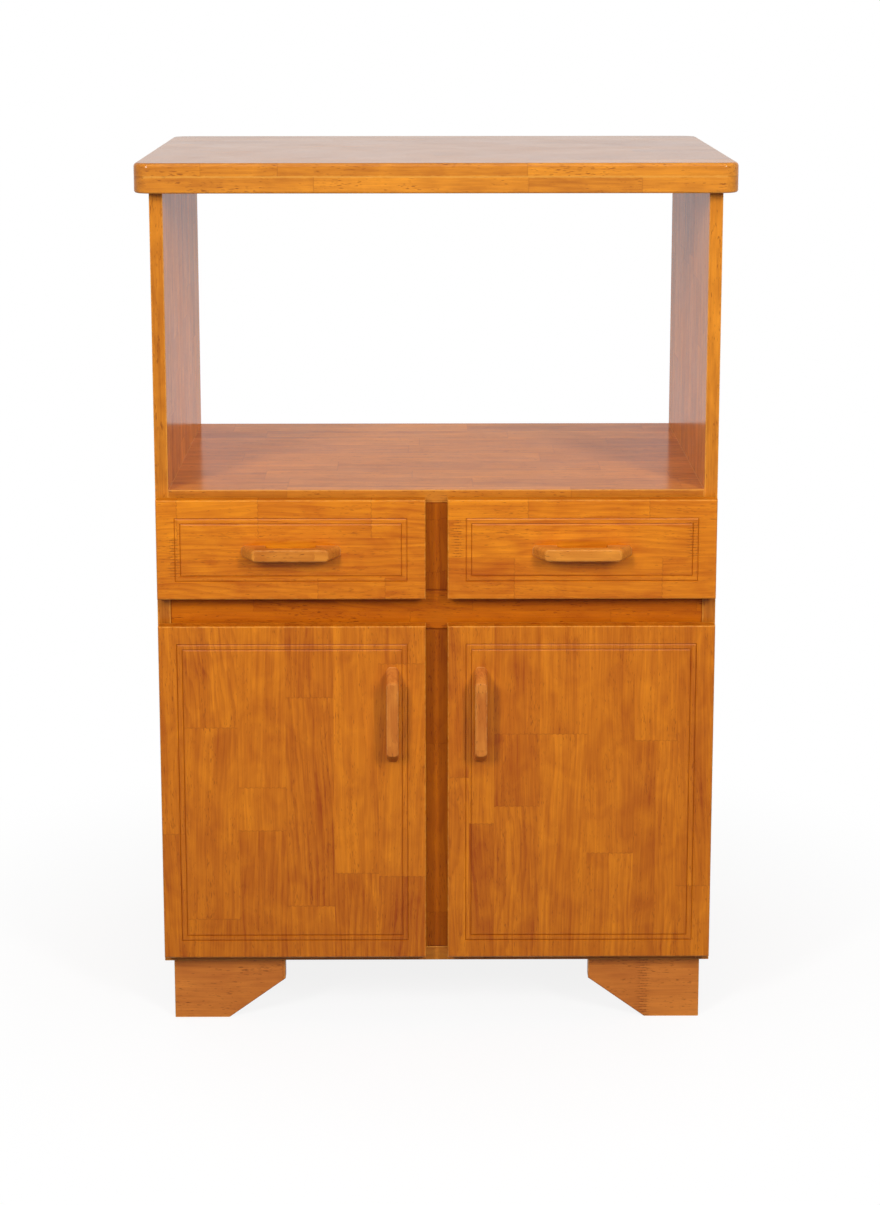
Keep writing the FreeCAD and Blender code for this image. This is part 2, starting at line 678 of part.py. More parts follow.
def build_pull(name, x, z, y_seat, upright):
    """A handle with its two screws.

    Returns the handle, the screws and the holes that they need in the front.
    """
    turn = Rotation(Vector(0, 1, 0), 90) if upright else Rotation()
    # A placed copy of the handle, whose own outline stays at the origin.
    bow = doc.addObject("Part::Compound", name + "_placed")
    bow.Links = [handle(name)]
    place(bow, x, "face_y", z, turn)
    screws, holes = [], []
    for number, step in enumerate(("-", "+"), start=1):
        at_x = x if upright else f"{x} {step} handle_seat"
        at_z = f"{z} {step} handle_seat" if upright else z
        screws.append(screw(f"{name}_screw_{number}", "face_y - screw_bite", y_seat,
                            at_x, at_z))
        holes.append(rod(f"{name}_hole_{number}", "screw_hole",
                         f"({y_seat}) - face_y + screw_bite + screw_play", "Y", at_x,
                         "face_y - screw_bite - screw_play", at_z))
    return cut(name + "_drilled", bow, *holes), group(name + "_screw_set", *screws), holes


# ----------------------------------------------------------------------------------------
# Drawers
# ----------------------------------------------------------------------------------------
def both(name, item):
    """Keep the right-hand item and its mirror image."""
    export("right_" + name, item)
    export("left_" + name, mirror(item, name + "_mirror"))


def beside(wall, way, near_side, far_side):
    """Low and high x of a stretch beside a wall that faces the given way."""
    if way == RIGHT:
        return f"{wall} + {near_side}", f"{wall} + {far_side}"
    return f"{wall} - ({far_side})", f"{wall} - ({near_side})"


def roller(name, x, y):
    """A runner's roller with the hole for its pin."""
    wheel = rod(name + "_wheel", "roller_radius", "roller_width", "X", x, y, "roller_z")
    hole = rod(name + "_hole", "roller_pin / 2 + roller_pin_play", "roller_width", "X",
               x, y, "roller_z")
    return cut(name, wheel, hole)


def cabinet_runner(name, wall, way):
    """The fixed channel on a wall, with the pin of its front roller."""
    def at(near_side, far_side):
        return beside(wall, way, near_side, far_side)
    length = ("runner_front_y", "runner_end_y")
    web = box(name + "_web", at("0", "runner_sheet"), length,
              ("track_floor - runner_sheet", "track_top + runner_sheet"))
    floor_y = ("front_roller_y + roller_radius + track_start", "runner_end_y")
    floor = box(name + "_floor", at("0", "runner_sheet + track_lip"), floor_y,
                ("track_floor - runner_sheet", "track_floor"))
    roof = box(name + "_roof", at("0", "runner_sheet + track_lip"), length,
               ("track_top", "track_top + runner_sheet"))
    pin = rod(name + "_pin", "roller_pin / 2", "roller_reach", "X", at("0", "roller_reach")[0],
              "front_roller_y", "roller_z")
    wheel = roller(name + "_roller", at("runner_sheet + roller_side_play",
                   "runner_sheet + roller_side_play + roller_width")[0], "front_roller_y")
    return fuse(name, web, floor, roof, pin), wheel


def drawer_runner(name, wall, way):
    """The moving angle under a box side, with the pin of its rear roller."""
    def at(near_side, far_side):
        return beside(wall, way, near_side, far_side)
    length = ("box_front_y + rail_setback", "box_end_y")
    lip = box(name + "_lip", at("rail_clear", "runner_width + box_side"), length,
              ("lip_under", "box_level"))
    side = box(name + "_side", at("runner_width - runner_sheet", "runner_width"), length,
               ("lip_under", "box_level + rail_side"))
    tab = box(name + "_tab", at("runner_width - runner_sheet", "runner_width"),
              ("rear_roller_y - roller_tab", "rear_roller_y + roller_tab"),
              ("roller_z - roller_tab", "lip_under"))
    far = "runner_width - runner_sheet - roller_side_play"
    ends = (f"{far} - roller_width - pin_end", "runner_width")
    pin = rod(name + "_pin", "roller_pin / 2", f"({ends[1]}) - ({ends[0]})", "X",
              at(*ends)[0], "rear_roller_y", "roller_z")
    wheel = roller(name + "_roller", at(f"{far} - roller_width", far)[0], "rear_roller_y")
    return fuse(name, lip, side, tab, pin), wheel


def build_drawers():
    """The right drawer with its runners and rollers, and the left one as its mirror."""
    pull, screws, holes = build_pull("drawer_handle", "front_middle", "drawer_handle_z",
                                     "box_front_y + box_side", upright=False)
    both("drawer_handle", pull)
    both("drawer_handle_screws", screws)
    both("drawer_front", front_panel("drawer_front", ("drawer_low", "drawer_high"), *holes))

    top = "box_level + box_height"
    deep = ("box_front_y", "box_end_y")
    inner = ("box_in + box_side", "box_out - box_side")
    floor = ("box_level + box_bottom_lift", "box_level + box_bottom_lift + box_bottom")
    groove = box("drawer_groove", (f"{inner[0]} - box_groove", f"{inner[1]} + box_groove"),
                 ("box_front_y + box_side - box_groove", "box_end_y"),
                 (f"{floor[0]} - box_play", f"{floor[1]} + box_play"))
    both("drawer_box_sides", group(
        "drawer_sides",
        cut("drawer_side_inner", box("inner_side", ("box_in", inner[0]), deep,
                                     ("box_level", top)), groove),
        cut("drawer_side_outer", box("outer_side", (inner[1], "box_out"), deep,
                                     ("box_level", top)), groove)))
    both("drawer_box_front", cut(
        "drawer_box_front_cut", box("box_front", inner, ("box_front_y", "box_front_y + box_side"),
                                    ("box_level", top)), groove, *holes))
    both("drawer_box_back", box("box_back", inner, ("box_end_y - box_side", "box_end_y"),
                                (floor[1], top)))
    both("drawer_box_bottom", box(
        "box_bottom_panel",
        (f"{inner[0]} - box_groove + box_play", f"{inner[1]} + box_groove - box_play"),
        ("box_front_y + box_side - box_groove + box_play", "box_end_y"), floor))

    channels, front_rollers, rails, rear_rollers = [], [], [], []
    for word, wall, way in (("outer", "side_in", LEFT), ("inner", "stile_half", RIGHT)):
        channel, wheel = cabinet_runner(f"cabinet_runner_{word}", wall, way)
        channels.append(channel)
        front_rollers.append(wheel)
        rail, wheel = drawer_runner(f"drawer_runner_{word}", wall, way)
        rails.append(rail)
        rear_rollers.append(wheel)
    both("drawer_rails", group("rails", *rails))
    both("drawer_front_rollers", group("front_rollers", *front_rollers))
    both("drawer_rear_rollers", group("rear_rollers", *rear_rollers))
    export("cabinet_runners", group("channels", *channels,
                                    *[mirror(c, c.Name + "_mirror") for c in channels]))


# ----------------------------------------------------------------------------------------
# Doors
# ----------------------------------------------------------------------------------------
def hinge_arm(name, level):
    """The fixed arm of a hinge: a wide part on its plate, a neck and a knuckle."""
    body = new_body(name + "_neck")
    top = "arm_start + (front_y - hinge_y)"
    corners = [("hinge_x", "hinge_y + knuckle_radius"),
               ("hinge_x - arm_clear", "hinge_y + knuckle_radius - arm_slope"),
               ("hinge_x - arm_clear", f"hinge_y + {top} + arm_neck"),
               ("hinge_x - arm_clear - arm_neck", f"hinge_y + {top} + arm_neck"),
               ("hinge_x - arm_clear - arm_neck", "hinge_y - arm_drop"),
               ("hinge_x", "hinge_y - knuckle_radius")]
    pad(body, outline(body, name + "_neck_outline", "XY_Plane", corners),
        "knuckle_width", True)
    bind(body, Placement__Base__z=level)
    low = f"{level} - knuckle_width / 2"
    knuckle = rod(name + "_knuckle", "knuckle_radius", "knuckle_width", "Z",
                  "hinge_x", "hinge_y", low)
    hole = rod(name + "_hole", "hinge_pin / 2 + hinge_pin_play", "knuckle_width", "Z",
               "hinge_x", "hinge_y", low)
    wide = box(name + "_wide", ("plate_x - arm_height", "plate_x"),
               ("front_y + arm_start", "front_y + arm_length"),
               (f"{level} - arm_width / 2", f"{level} + arm_width / 2"))
    return cut(name, fuse(name + "_fused", body, knuckle, wide), hole)


def hinge_cup(name, level):
    """The cup let into a door, with ears for the pin and a flange for two screws."""
    radius = "cup_diameter / 2"
    floor_y = "front_back_y - cup_depth"
    shell = rod(name + "_shell", radius, "cup_depth", "Y", "cup_x", floor_y, level)
    flange = box(name + "_flange", ("cup_x - cup_flange_width / 2",
                                    "cup_x + cup_flange_width / 2"),
                 ("front_back_y", "front_back_y + cup_flange"),
                 (f"{level} - cup_flange_reach", f"{level} + cup_flange_reach"))
    hollow = rod(name + "_hollow", f"{radius} - cup_wall",
                 "cup_depth - cup_wall + cup_flange", "Y", "cup_x",
                 f"{floor_y} + cup_wall", level)
    rim = rod(name + "_rim", radius, "cup_flange", "Y", "cup_x", "front_back_y", level)
    reach = "(hinge_pin / 2 + lug_reach)"
    lugs = []
    for side in (LEFT, RIGHT):
        start, end = "knuckle_width / 2 + knuckle_play", "hinge_pin_length / 2"
        z = ((f"{level} + {start}", f"{level} + {end}") if side == RIGHT
             else (f"{level} - {end}", f"{level} - ({start})"))
        lugs.append(box(f"{name}_lug_{(side + 1) // 2}",
                        (f"hinge_x - {reach}", f"hinge_x + {reach}"),
                        (floor_y, f"hinge_y + {reach}"), z))
    inside = doc.addObject("Part::MultiCommon", name + "_lugs")
    inside.Shapes = [fuse(name + "_lug_pair", *lugs),
                     rod(name + "_limit", f"{radius} - cup_wall / 2", "cup_depth", "Y",
                         "cup_x", floor_y, level)]
    hole = rod(name + "_pin_hole", "hinge_pin / 2", "hinge_pin_length", "Z",
               "hinge_x", "hinge_y", f"{level} - hinge_pin_length / 2")
    screw_holes = [rod(f"{name}_screw_hole_{n}", "screw_hole", "cup_flange", "Y", "cup_x",
                       "front_back_y", f"{level} {step} cup_screw_spacing / 2")
                   for n, step in enumerate(("-", "+"))]
    solid = cut(name + "_cup", fuse(name + "_outside", shell, flange, rim), hollow)
    return cut(name, fuse(name + "_with_lugs", solid, inside), hole, *screw_holes)


def hinge_plate(name, level):
    """The mounting plate on the side panel, with its two screws and their holes."""
    plate = box(name + "_block", ("plate_x", "side_in"),
                ("front_y + plate_setback - plate_length / 2",
                 "front_y + plate_setback + plate_length / 2"),
                (f"{level} - plate_height / 2", f"{level} + plate_height / 2"))
    holes, screws = [], []
    for number, step in enumerate(("-", "+")):
        at_y, at_z = "front_y + plate_setback", f"{level} {step} screw_spacing / 2"
        holes.append(rod(f"{name}_hole_{number}", "screw_hole",
                         "plate_thickness + plate_screw_bite + screw_play", "X",
                         "plate_x", at_y, at_z))
        shank = rod(f"{name}_shank_{number}", "screw_radius",
                    "plate_thickness + plate_screw_bite", "X", "plate_x", at_y, at_z)
        head = rod(f"{name}_head_{number}", "screw_head / 2", "screw_head_height", "X",
                   "plate_x - screw_head_height", at_y, at_z)
        screws.append(fuse(f"{name}_screw_{number}", shank, head))
    return cut(name, plate, *holes), screws, holes


HINGE_LEVELS = (("lower", "door_low + hinge_from_end"), ("upper", "door_high - hinge_from_end"))
PLATE_HOLES = []


def build_hinges():
    """Arms, plates and plate screws of all four hinges; their holes go to PLATE_HOLES."""
    arms, plates, screws = [], [], []
    for word, level in HINGE_LEVELS:
        arm = hinge_arm(f"hinge_arm_{word}", level)
        plate, pair, holes = hinge_plate(f"hinge_plate_{word}", level)
        PLATE_HOLES.extend(holes)
        for store, items in ((arms, [arm]), (plates, [plate]), (screws, pair)):
            for item in items:
                store += [item, mirror(item, item.Name + "_mirror")]
    export("hinge_arms", group("arm_set", *arms))
    export("hinge_plates", group("plate_set", *plates))
    export("hinge_plate_screws", group("plate_screw_set", *screws))
    BORES.setdefault("side_panel_right", []).extend(PLATE_HOLES)
    BORES.setdefault("side_panel_left", []).extend(
        mirror(hole, hole.Name + "_mirror") for hole in PLATE_HOLES)


def build_doors():
    """The right door with everything that turns with it, and the left one as its mirror."""
    pull, screws, holes = build_pull("door_handle", "door_handle_x", "door_handle_z",
                                     "front_back_y", upright=True)
    both("door_handle", pull)
    both("door_handle_screws", screws)
    cups, pins, cup_screws, cuts = [], [], [], list(holes)
    for word, level in HINGE_LEVELS:
        cups.append(hinge_cup(f"hinge_cup_{word}", level))
        pins.append(rod(f"hinge_pin_{word}", "hinge_pin / 2", "hinge_pin_length", "Z",
                        "hinge_x", "hinge_y", f"{level} - hinge_pin_length / 2"))
        cuts.append(rod(f"cup_recess_{word}", "cup_diameter / 2", "cup_depth", "Y", "cup_x",
                        "front_back_y - cup_depth", level))
        for number, step in enumerate(("-", "+")):
            at_z = f"{level} {step} cup_screw_spacing / 2"
            seat = "front_back_y + cup_flange"
            cup_screws.append(screw(f"cup_screw_{word}_{number}",
                                    "front_back_y - cup_screw_bite", seat, "cup_x", at_z))
            cuts.append(rod(f"cup_pilot_{word}_{number}", "screw_hole",
                            "cup_screw_bite + screw_play", "Y", "cup_x",
                            "front_back_y - cup_screw_bite - screw_play", at_z))
    both("door_hinge_cups", group("cups", *cups))
    both("door_hinge_pins", group("pins", *pins))
    both("door_cup_screws", group("cup_screw_set", *cup_screws))
    both("door_panel", front_panel("door", ("door_low", "door_high"), *cuts))
    pads = []
    for word, at_z in (("upper", "door_high - rail_overlap_door / 2"),
                       ("lower", "(door_low + bottom_top) / 2")):
        pads.append(rod(f"bumper_{word}", "bumper_diameter / 2", "front_gap - bumper_play",
                        "Y", "front_in + bumper_inset", "front_back_y", at_z))
    both("door_bumpers", group("bumpers", *pads))


def check_document():
    """Stop if any object failed or any sub-part's shape is unusable."""
    for item in doc.Objects:
        if "Invalid" in item.State or "Error" in item.State:
            raise RuntimeError(f"{item.Name} failed: {item.State}")
    for name, item in SUBPARTS.items():
        if item.Shape.isNull() or not item.Shape.isValid() or not item.Shape.Solids:
            raise RuntimeError(f"{name} has no valid solid")


def main():
    """Build the stand and write one file per sub-part."""
    build_top()
    build_hinges()
    build_carcass()
    build_feet()
    build_drawers()
    build_doors()
    doc.recompute()
    check_document()
    os.makedirs("parts", exist_ok=True)
    for name, item in SUBPARTS.items():
        item.Shape.exportStep(os.path.join("parts", name + ".step"))
        print(f"{name}: {len(item.Shape.Solids)} solids, {item.Shape.Volume / 1000:.1f} cm3")
    print(len(SUBPARTS), "sub-parts")


main()
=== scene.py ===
"""Looks of the microwave stand: boards under varnish, fittings, studio and camera.

Every board keeps its own shape and gets its own wood, laid out in staves and blocks along its
grain.  World frame: X to the right, Y from front to back, Z up, in metres.
"""
from __future__ import annotations

import logging
import math
import random
from dataclasses import dataclass, field, replace
from enum import Enum
from typing import Any, Optional, Sequence, Union

import bpy
from mathutils import Matrix, Vector

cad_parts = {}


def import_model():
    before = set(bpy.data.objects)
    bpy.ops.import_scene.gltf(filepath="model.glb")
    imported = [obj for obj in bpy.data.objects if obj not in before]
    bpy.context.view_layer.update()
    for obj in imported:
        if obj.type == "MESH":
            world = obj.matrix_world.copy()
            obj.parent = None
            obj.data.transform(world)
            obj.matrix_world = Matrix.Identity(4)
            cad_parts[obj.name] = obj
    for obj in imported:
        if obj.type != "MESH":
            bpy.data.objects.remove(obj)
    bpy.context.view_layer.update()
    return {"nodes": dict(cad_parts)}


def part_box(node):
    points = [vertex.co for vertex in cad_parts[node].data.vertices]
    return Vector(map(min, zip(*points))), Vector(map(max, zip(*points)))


log = logging.getLogger("stand")

Socket = bpy.types.NodeSocket
Value = Union[Socket, float, int, Sequence[float]]
Triple = tuple[float, float, float]
Color = tuple[float, float, float]
Range = tuple[float, float]
Box = tuple[Vector, Vector]
Nodes = dict[str, bpy.types.Object]

NOWHERE: Triple = (0.0, 0.0, 0.0)
HALF = 0.5


# ----------------------------------------------------------------------------------------
# Drawing node trees
# ----------------------------------------------------------------------------------------
class Axis(Enum):
    """Directions of the world frame; each value is its place in a vector."""

    X = 0
    Y = 1
    Z = 2


@dataclass(frozen=True)
class Noise:
    """Smooth noise; scale is how often it changes per metre, in all or each direction."""

    scale: Union[float, Triple] = 1.0
    detail: float = 2.0
    roughness: float = 0.5
    distortion: float = 0.0


@dataclass(frozen=True)
class Ramp:
    """One range of numbers laid over another; smooth eases its ends."""

    low: float
    high: float
    out_low: float = 0.0
    out_high: float = 1.0
    smooth: bool = False


@dataclass
class Graph:
    """A node tree being drawn, with a short method for each kind of node."""

    tree: bpy.types.NodeTree

    def node(self, kind: str, **settings: Any) -> bpy.types.Node:
        """Add a node and set its properties.

        Args:
            kind: The node's type name without its ShaderNode prefix.
            settings: Properties of the node and their values.

        Returns:
            The new node.
        """
        made = self.tree.nodes.new("ShaderNode" + kind)
        for name, setting in settings.items():
            setattr(made, name, setting)
        return made

    def put(self, socket: Socket, value: Value) -> None:
        """Link a socket to another one, or set its plain value.

        Args:
            socket: The input to feed.
            value: An output, a number, or a vector or colour.
        """
        if isinstance(value, bpy.types.NodeSocket):
            self.tree.links.new(value, socket)
        elif isinstance(value, (int, float)):
            socket.default_value = value
        elif len(socket.default_value) > len(value):
            socket.default_value = (*value, 1.0)
        else:
            socket.default_value = tuple(value)

    def math(self, operation: str, *values: Value, clamp: bool = False) -> Socket:
        """Work out a number.

        Args:
            operation: The Math node's operation.
            values: Up to three numbers.
            clamp: Whether the result is kept from 0 to 1.

        Returns:
            The number.
        """
        made = self.node("Math", operation=operation, use_clamp=clamp)
        for socket, value in zip(made.inputs, values):
            self.put(socket, value)
        return made.outputs[0]

    def fold(self, operation: str, values: Sequence[Value]) -> Value:
        """Work out one number from several, from left to right.

        Args:
            operation: The Math node's operation.
            values: The numbers.

        Returns:
            The number.
        """
        result = values[0]
        for value in values[1:]:
            result = self.math(operation, result, value)
        return result

    def total(self, *values: Value) -> Socket:
        """The sum of numbers."""
        return self.fold("ADD", values)

    def product(self, *values: Value) -> Socket:
        """The product of numbers."""
        return self.fold("MULTIPLY", values)

    def least(self, *values: Value) -> Socket:
        """The lowest of numbers."""
        return self.fold("MINIMUM", values)

    def most(self, *values: Value) -> Socket:
        """The highest of numbers."""
        return self.fold("MAXIMUM", values)

    def minus(self, first: Value, second: Value) -> Socket:
        """The first number less the second."""
        return self.math("SUBTRACT", first, second)

    def over(self, first: Value, second: Value) -> Socket:
        """The first number divided by the second."""
        return self.math("DIVIDE", first, second)

    def scaled(self, value: Value, factor: Value, start: Value) -> Socket:
        """A number times a factor, on top of a start."""
        return self.math("MULTIPLY_ADD", value, factor, start)

    def swing(self, value: Value, reach: Value) -> Socket:
        """A number from 0 to 1, centred on 0 and stretched to a reach."""
        return self.product(self.minus(value, HALF), reach)

    def vector(self, operation: str, *values: Value) -> Socket:
        """Work out a vector, or its length.

        Args:
            operation: The Vector Math node's operation.
            values: Its vectors; SCALE takes its factor second.

        Returns:
            The vector or the length.
        """
        made = self.node("VectorMath", operation=operation)
        self.put(made.inputs[0], values[0])
        if operation == "SCALE":
            self.put(made.inputs["Scale"], values[1])
        elif len(values) > 1:
            self.put(made.inputs[1], values[1])
        return made.outputs["Value" if operation == "LENGTH" else "Vector"]

    def split(self, vector: Socket) -> list[Socket]:
        """The three parts of a vector."""
        made = self.node("SeparateXYZ")
        self.put(made.inputs[0], vector)
        return list(made.outputs)

    def join(self, *parts: Value) -> Socket:
        """A vector from its three parts."""
        made = self.node("CombineXYZ")
        for socket, part in zip(made.inputs, parts):
            self.put(socket, part)
        return made.outputs[0]

    def mix(self, factor: Value, low: Value, high: Value) -> Socket:
        """Mix two colours.

        Args:
            factor: Share of the second colour.
            low: The first colour.
            high: The second colour.

        Returns:
            The mixed colour.
        """
        made = self.node("Mix", data_type="RGBA", clamp_factor=True)
        for socket, value in zip((made.inputs[0], made.inputs[6], made.inputs[7]),
                                 (factor, low, high)):
            self.put(socket, value)
        return made.outputs[2]

    def between(self, value: Value, low: Value, high: Value, out_low: Value = 0.0,
                out_high: Value = 1.0, smooth: bool = False) -> Socket:
        """Lay one range of numbers over another and keep the number inside it.

        Args:
            value: The number.
            low: Start of its own range.
            high: End of its own range.
            out_low: What the start becomes.
            out_high: What the end becomes.
            smooth: Whether the ends are eased.

        Returns:
            The mapped number.
        """
        made = self.node("MapRange", interpolation_type="SMOOTHSTEP" if smooth else "LINEAR")
        for socket, item in zip(made.inputs, (value, low, high, out_low, out_high)):
            self.put(socket, item)
        return made.outputs[0]

    def ramp(self, value: Value, ramp: Ramp) -> Socket:
        """A number laid over a ramp."""
        return self.between(value, ramp.low, ramp.high, ramp.out_low, ramp.out_high,
                            ramp.smooth)

    def blend(self, factor: Value, span: Range) -> Socket:
        """A number that goes from one end of a span to the other."""
        return self.between(factor, 0.0, 1.0, *span)

    def noise(self, place: Socket, look: Noise, scale: Optional[Socket] = None) -> Socket:
        """Draw smooth noise from 0 to 1.

        Args:
            place: Where to read it.
            look: How it changes.
            scale: How often it changes, where that is an input of a group.

        Returns:
            The noise.
        """
        even = look.scale if scale is None else scale
        if isinstance(look.scale, tuple):
            place, even = self.vector("MULTIPLY", place, look.scale), 1.0
        made = self.node("TexNoise")
        for name, value in (("Vector", place), ("Scale", even), ("Detail", look.detail),
                            ("Roughness", look.roughness),
                            ("Distortion", look.distortion)):
            self.put(made.inputs[name], value)
        return made.outputs[0]

    def random(self, vector: Socket) -> Socket:
        """A random vector for each different vector."""
        made = self.node("TexWhiteNoise", noise_dimensions="3D")
        self.put(made.inputs[0], vector)
        return made.outputs["Color"]

    def steps(self, factor: Value, stops: Sequence[tuple[float, Sequence[float]]]
              ) -> bpy.types.Node:
        """Draw a colour ramp in which each colour holds up to the next place.

        Args:
            factor: Where to read the ramp.
            stops: Places and colours, from low to high.

        Returns:
            The ramp's node.
        """
        made = self.node("ValToRGB")
        ramp = made.color_ramp
        ramp.interpolation = "CONSTANT"
        while len(ramp.elements) < len(stops):
            ramp.elements.new(1.0)
        for element, (position, color) in zip(ramp.elements, stops):
            element.position = position
            element.color = (*color, 1.0) if len(color) == 3 else tuple(color)
        self.put(made.inputs[0], factor)
        return made

    def bump(self, height: Socket, distance: float) -> Socket:
        """Turn a height into a normal.

        Args:
            height: The height, as a share of the distance.
            distance: How far the surface rises, in metres.

        Returns:
            The normal.
        """
        made = self.node("Bump")
        self.put(made.inputs["Height"], height)
        made.inputs["Distance"].default_value = distance
        made.inputs["Strength"].default_value = 1.0
        return made.outputs[0]

    def finish(self, shader: bpy.types.Node, output: str = "OutputMaterial") -> None:
        """Link a shader to the output of its material or world."""
        self.put(self.node(output).inputs["Surface"], shader.outputs[0])

    def surface(self, **inputs: Value) -> None:
        """Make the material's surface with a Principled shader.

        Args:
            inputs: Its inputs, with underscores for spaces; a plain number is set on the
                shader's own socket.
        """
        shader = self.node("BsdfPrincipled")
        for key, value in inputs.items():
            self.put(shader.inputs[key.replace("_", " ")], value)
        self.finish(shader)

    def place(self, effect: type[Effect], **inputs: Value) -> dict[str, Socket]:
        """Put in the group of an effect and set its inputs.

        Args:
            effect: The kind of effect.
            inputs: Its inputs, with underscores for spaces.

        Returns:
            The group's outputs by name.
        """
        made = self.node("Group")
        made.node_tree = bpy.data.node_groups[effect.TITLE]
        for key, value in inputs.items():
            self.put(made.inputs[key.replace("_", " ")], value)
        return {socket.name: socket for socket in made.outputs}


def start_material(name: str) -> tuple[bpy.types.Material, Graph]:
    """Start an empty material.

    Args:
        name: Name of the material.

    Returns:
        The material and its graph.
    """
    material = bpy.data.materials.new(name)
    material.use_nodes = True
    material.node_tree.nodes.clear()
    return material, Graph(material.node_tree)


def cover(piece: bpy.types.Object, material: bpy.types.Material) -> None:
    """Put a material on the whole of a piece."""
    for slot in piece.material_slots:
        slot.material = material


# ----------------------------------------------------------------------------------------
# Effects that several finishes share
# ----------------------------------------------------------------------------------------
class Joint(Enum):
    """How the blocks of a stave meet: how far the fingers reach, in metres."""

    STRAIGHT = 0.0006
    COMB = 0.0075


class Effect:
    """A shader node group; the fields of each kind name its measures."""

    TITLE: str
    INPUTS: dict[str, Value]
    OUTPUTS: tuple[str, ...]

    def draw(self, graph: Graph, given: dict[str, Socket]) -> dict[str, Socket]:
        """Draw the nodes.

        Args:
            graph: The group's graph.
            given: The group's inputs by name.

        Returns:
            What goes to each of the group's outputs.
        """
        raise NotImplementedError

    def build(self) -> None:
        """Make the group, its sockets and its nodes; a triple makes a vector input."""
        tree = bpy.data.node_groups.new(self.TITLE, "ShaderNodeTree")
        for name, usual in self.INPUTS.items():
            kind = "NodeSocketFloat" if isinstance(usual, float) else "NodeSocketVector"
            made = tree.interface.new_socket(name, in_out="INPUT", socket_type=kind)
            made.default_value = usual
        for name in self.OUTPUTS:
            tree.interface.new_socket(name, in_out="OUTPUT", socket_type="NodeSocketFloat")
        source = tree.nodes.new("NodeGroupInput")
        target = tree.nodes.new("NodeGroupOutput")
        graph = Graph(tree)
        drawn = self.draw(graph, {each.name: each for each in source.outputs if each.name})
        for name in self.OUTPUTS:
            graph.put(target.inputs[name], drawn[name])
        log.info("effect: %s", self.TITLE)


@dataclass(frozen=True)
class WoodFigure(Effect):
    """Growth rings, fibre and pores of one block of wood.

    Point is (along, across, through) the grain in metres, and Block is a random vector
    that differs from block to block.  The tree's heart runs a little off the block, so
    that its rings open into arches.
    """

    TITLE = "Wood Figure"
    INPUTS = {"Point": NOWHERE, "Block": NOWHERE, "Ring Width": 0.005, "Waviness": 0.012}
    OUTPUTS = ("Rings", "Bands", "Streaks", "Fibre", "Pores", "Mottle")

    block_distance: float = 7.0
    wave: Noise = Noise((5.0, 9.0, 9.0))
    lean: float = 0.09
    heart_aside: float = 0.06
    heart_depth: float = 0.008
    heart_deeper: float = 0.03
    heart_slope: float = 0.35
    arch_along: float = 0.4
    uneven: Noise = Noise((11.0, 70.0, 70.0), detail=3.0)
    uneven_turns: float = 2.6
    ring_rise: Ramp = Ramp(0.25, 0.9, smooth=True)
    ring_fall: Ramp = Ramp(0.9, 1.0, 1.0, 0.0)
    ring_shown: Ramp = Ramp(0.2, 0.85, 0.25, 1.0)
    bands: Noise = Noise((2.4, 46.0, 46.0), detail=3.0, roughness=0.55)
    streaks: Noise = Noise((7.0, 210.0, 210.0), detail=3.0, roughness=0.65)
    fibre: Noise = Noise((26.0, 720.0, 720.0))
    mottle: Noise = Noise((26.0, 46.0, 46.0), detail=3.0, distortion=0.8)
    dashes: Noise = Noise((150.0, 950.0, 950.0), detail=1.0)
    clumps: Noise = Noise((14.0, 90.0, 90.0))
    pore_level: Ramp = Ramp(0.35, 0.7, 0.72, 0.57)
    pore_edge: float = 9.0

    def draw(self, graph: Graph, given: dict[str, Socket]) -> dict[str, Socket]:
        """Draw the nodes.

        Args:
            graph: The group's graph.
            given: The group's inputs by name.

        Returns:
            What goes to each of the group's outputs.
        """
        shift = graph.vector("SCALE", given["Block"], self.block_distance)
        moved = graph.vector("ADD", given["Point"], shift)
        along, across, through = graph.split(given["Point"])
        first, second, third = graph.split(given["Block"])
        wave = graph.swing(graph.noise(moved, self.wave), given["Waviness"])
        lean = graph.swing(third, self.lean)
        bent = graph.total(across, graph.total(wave, graph.product(along, lean)))
        off_heart = graph.minus(along, graph.product(first, self.arch_along))
        rise = graph.product(off_heart, graph.swing(second, self.heart_slope))
        depth = graph.total(graph.scaled(third, self.heart_deeper, self.heart_depth),
                            graph.math("ABSOLUTE", rise))
        from_heart = graph.vector("LENGTH", graph.join(
            graph.minus(bent, graph.swing(first, self.heart_aside)),
            graph.total(through, depth), 0.0))
        uneven = graph.product(graph.noise(moved, self.uneven), self.uneven_turns)
        turns = graph.total(graph.over(from_heart, given["Ring Width"]), uneven)
        ring = graph.math("FRACT", turns)
        rings = graph.product(graph.ramp(ring, self.ring_rise),
                              graph.ramp(ring, self.ring_fall),
                              graph.ramp(second, self.ring_shown))
        grain = graph.vector("ADD", graph.join(along, bent, through), shift)
        level = graph.ramp(graph.noise(grain, self.clumps), self.pore_level)
        pores = graph.math("MULTIPLY", graph.minus(graph.noise(grain, self.dashes), level),
                           self.pore_edge, clamp=True)
        return {"Rings": rings, "Bands": graph.noise(grain, self.bands),
                "Streaks": graph.noise(grain, self.streaks),
                "Fibre": graph.noise(grain, self.fibre), "Pores": pores,
                "Mottle": graph.noise(moved, self.mottle)}


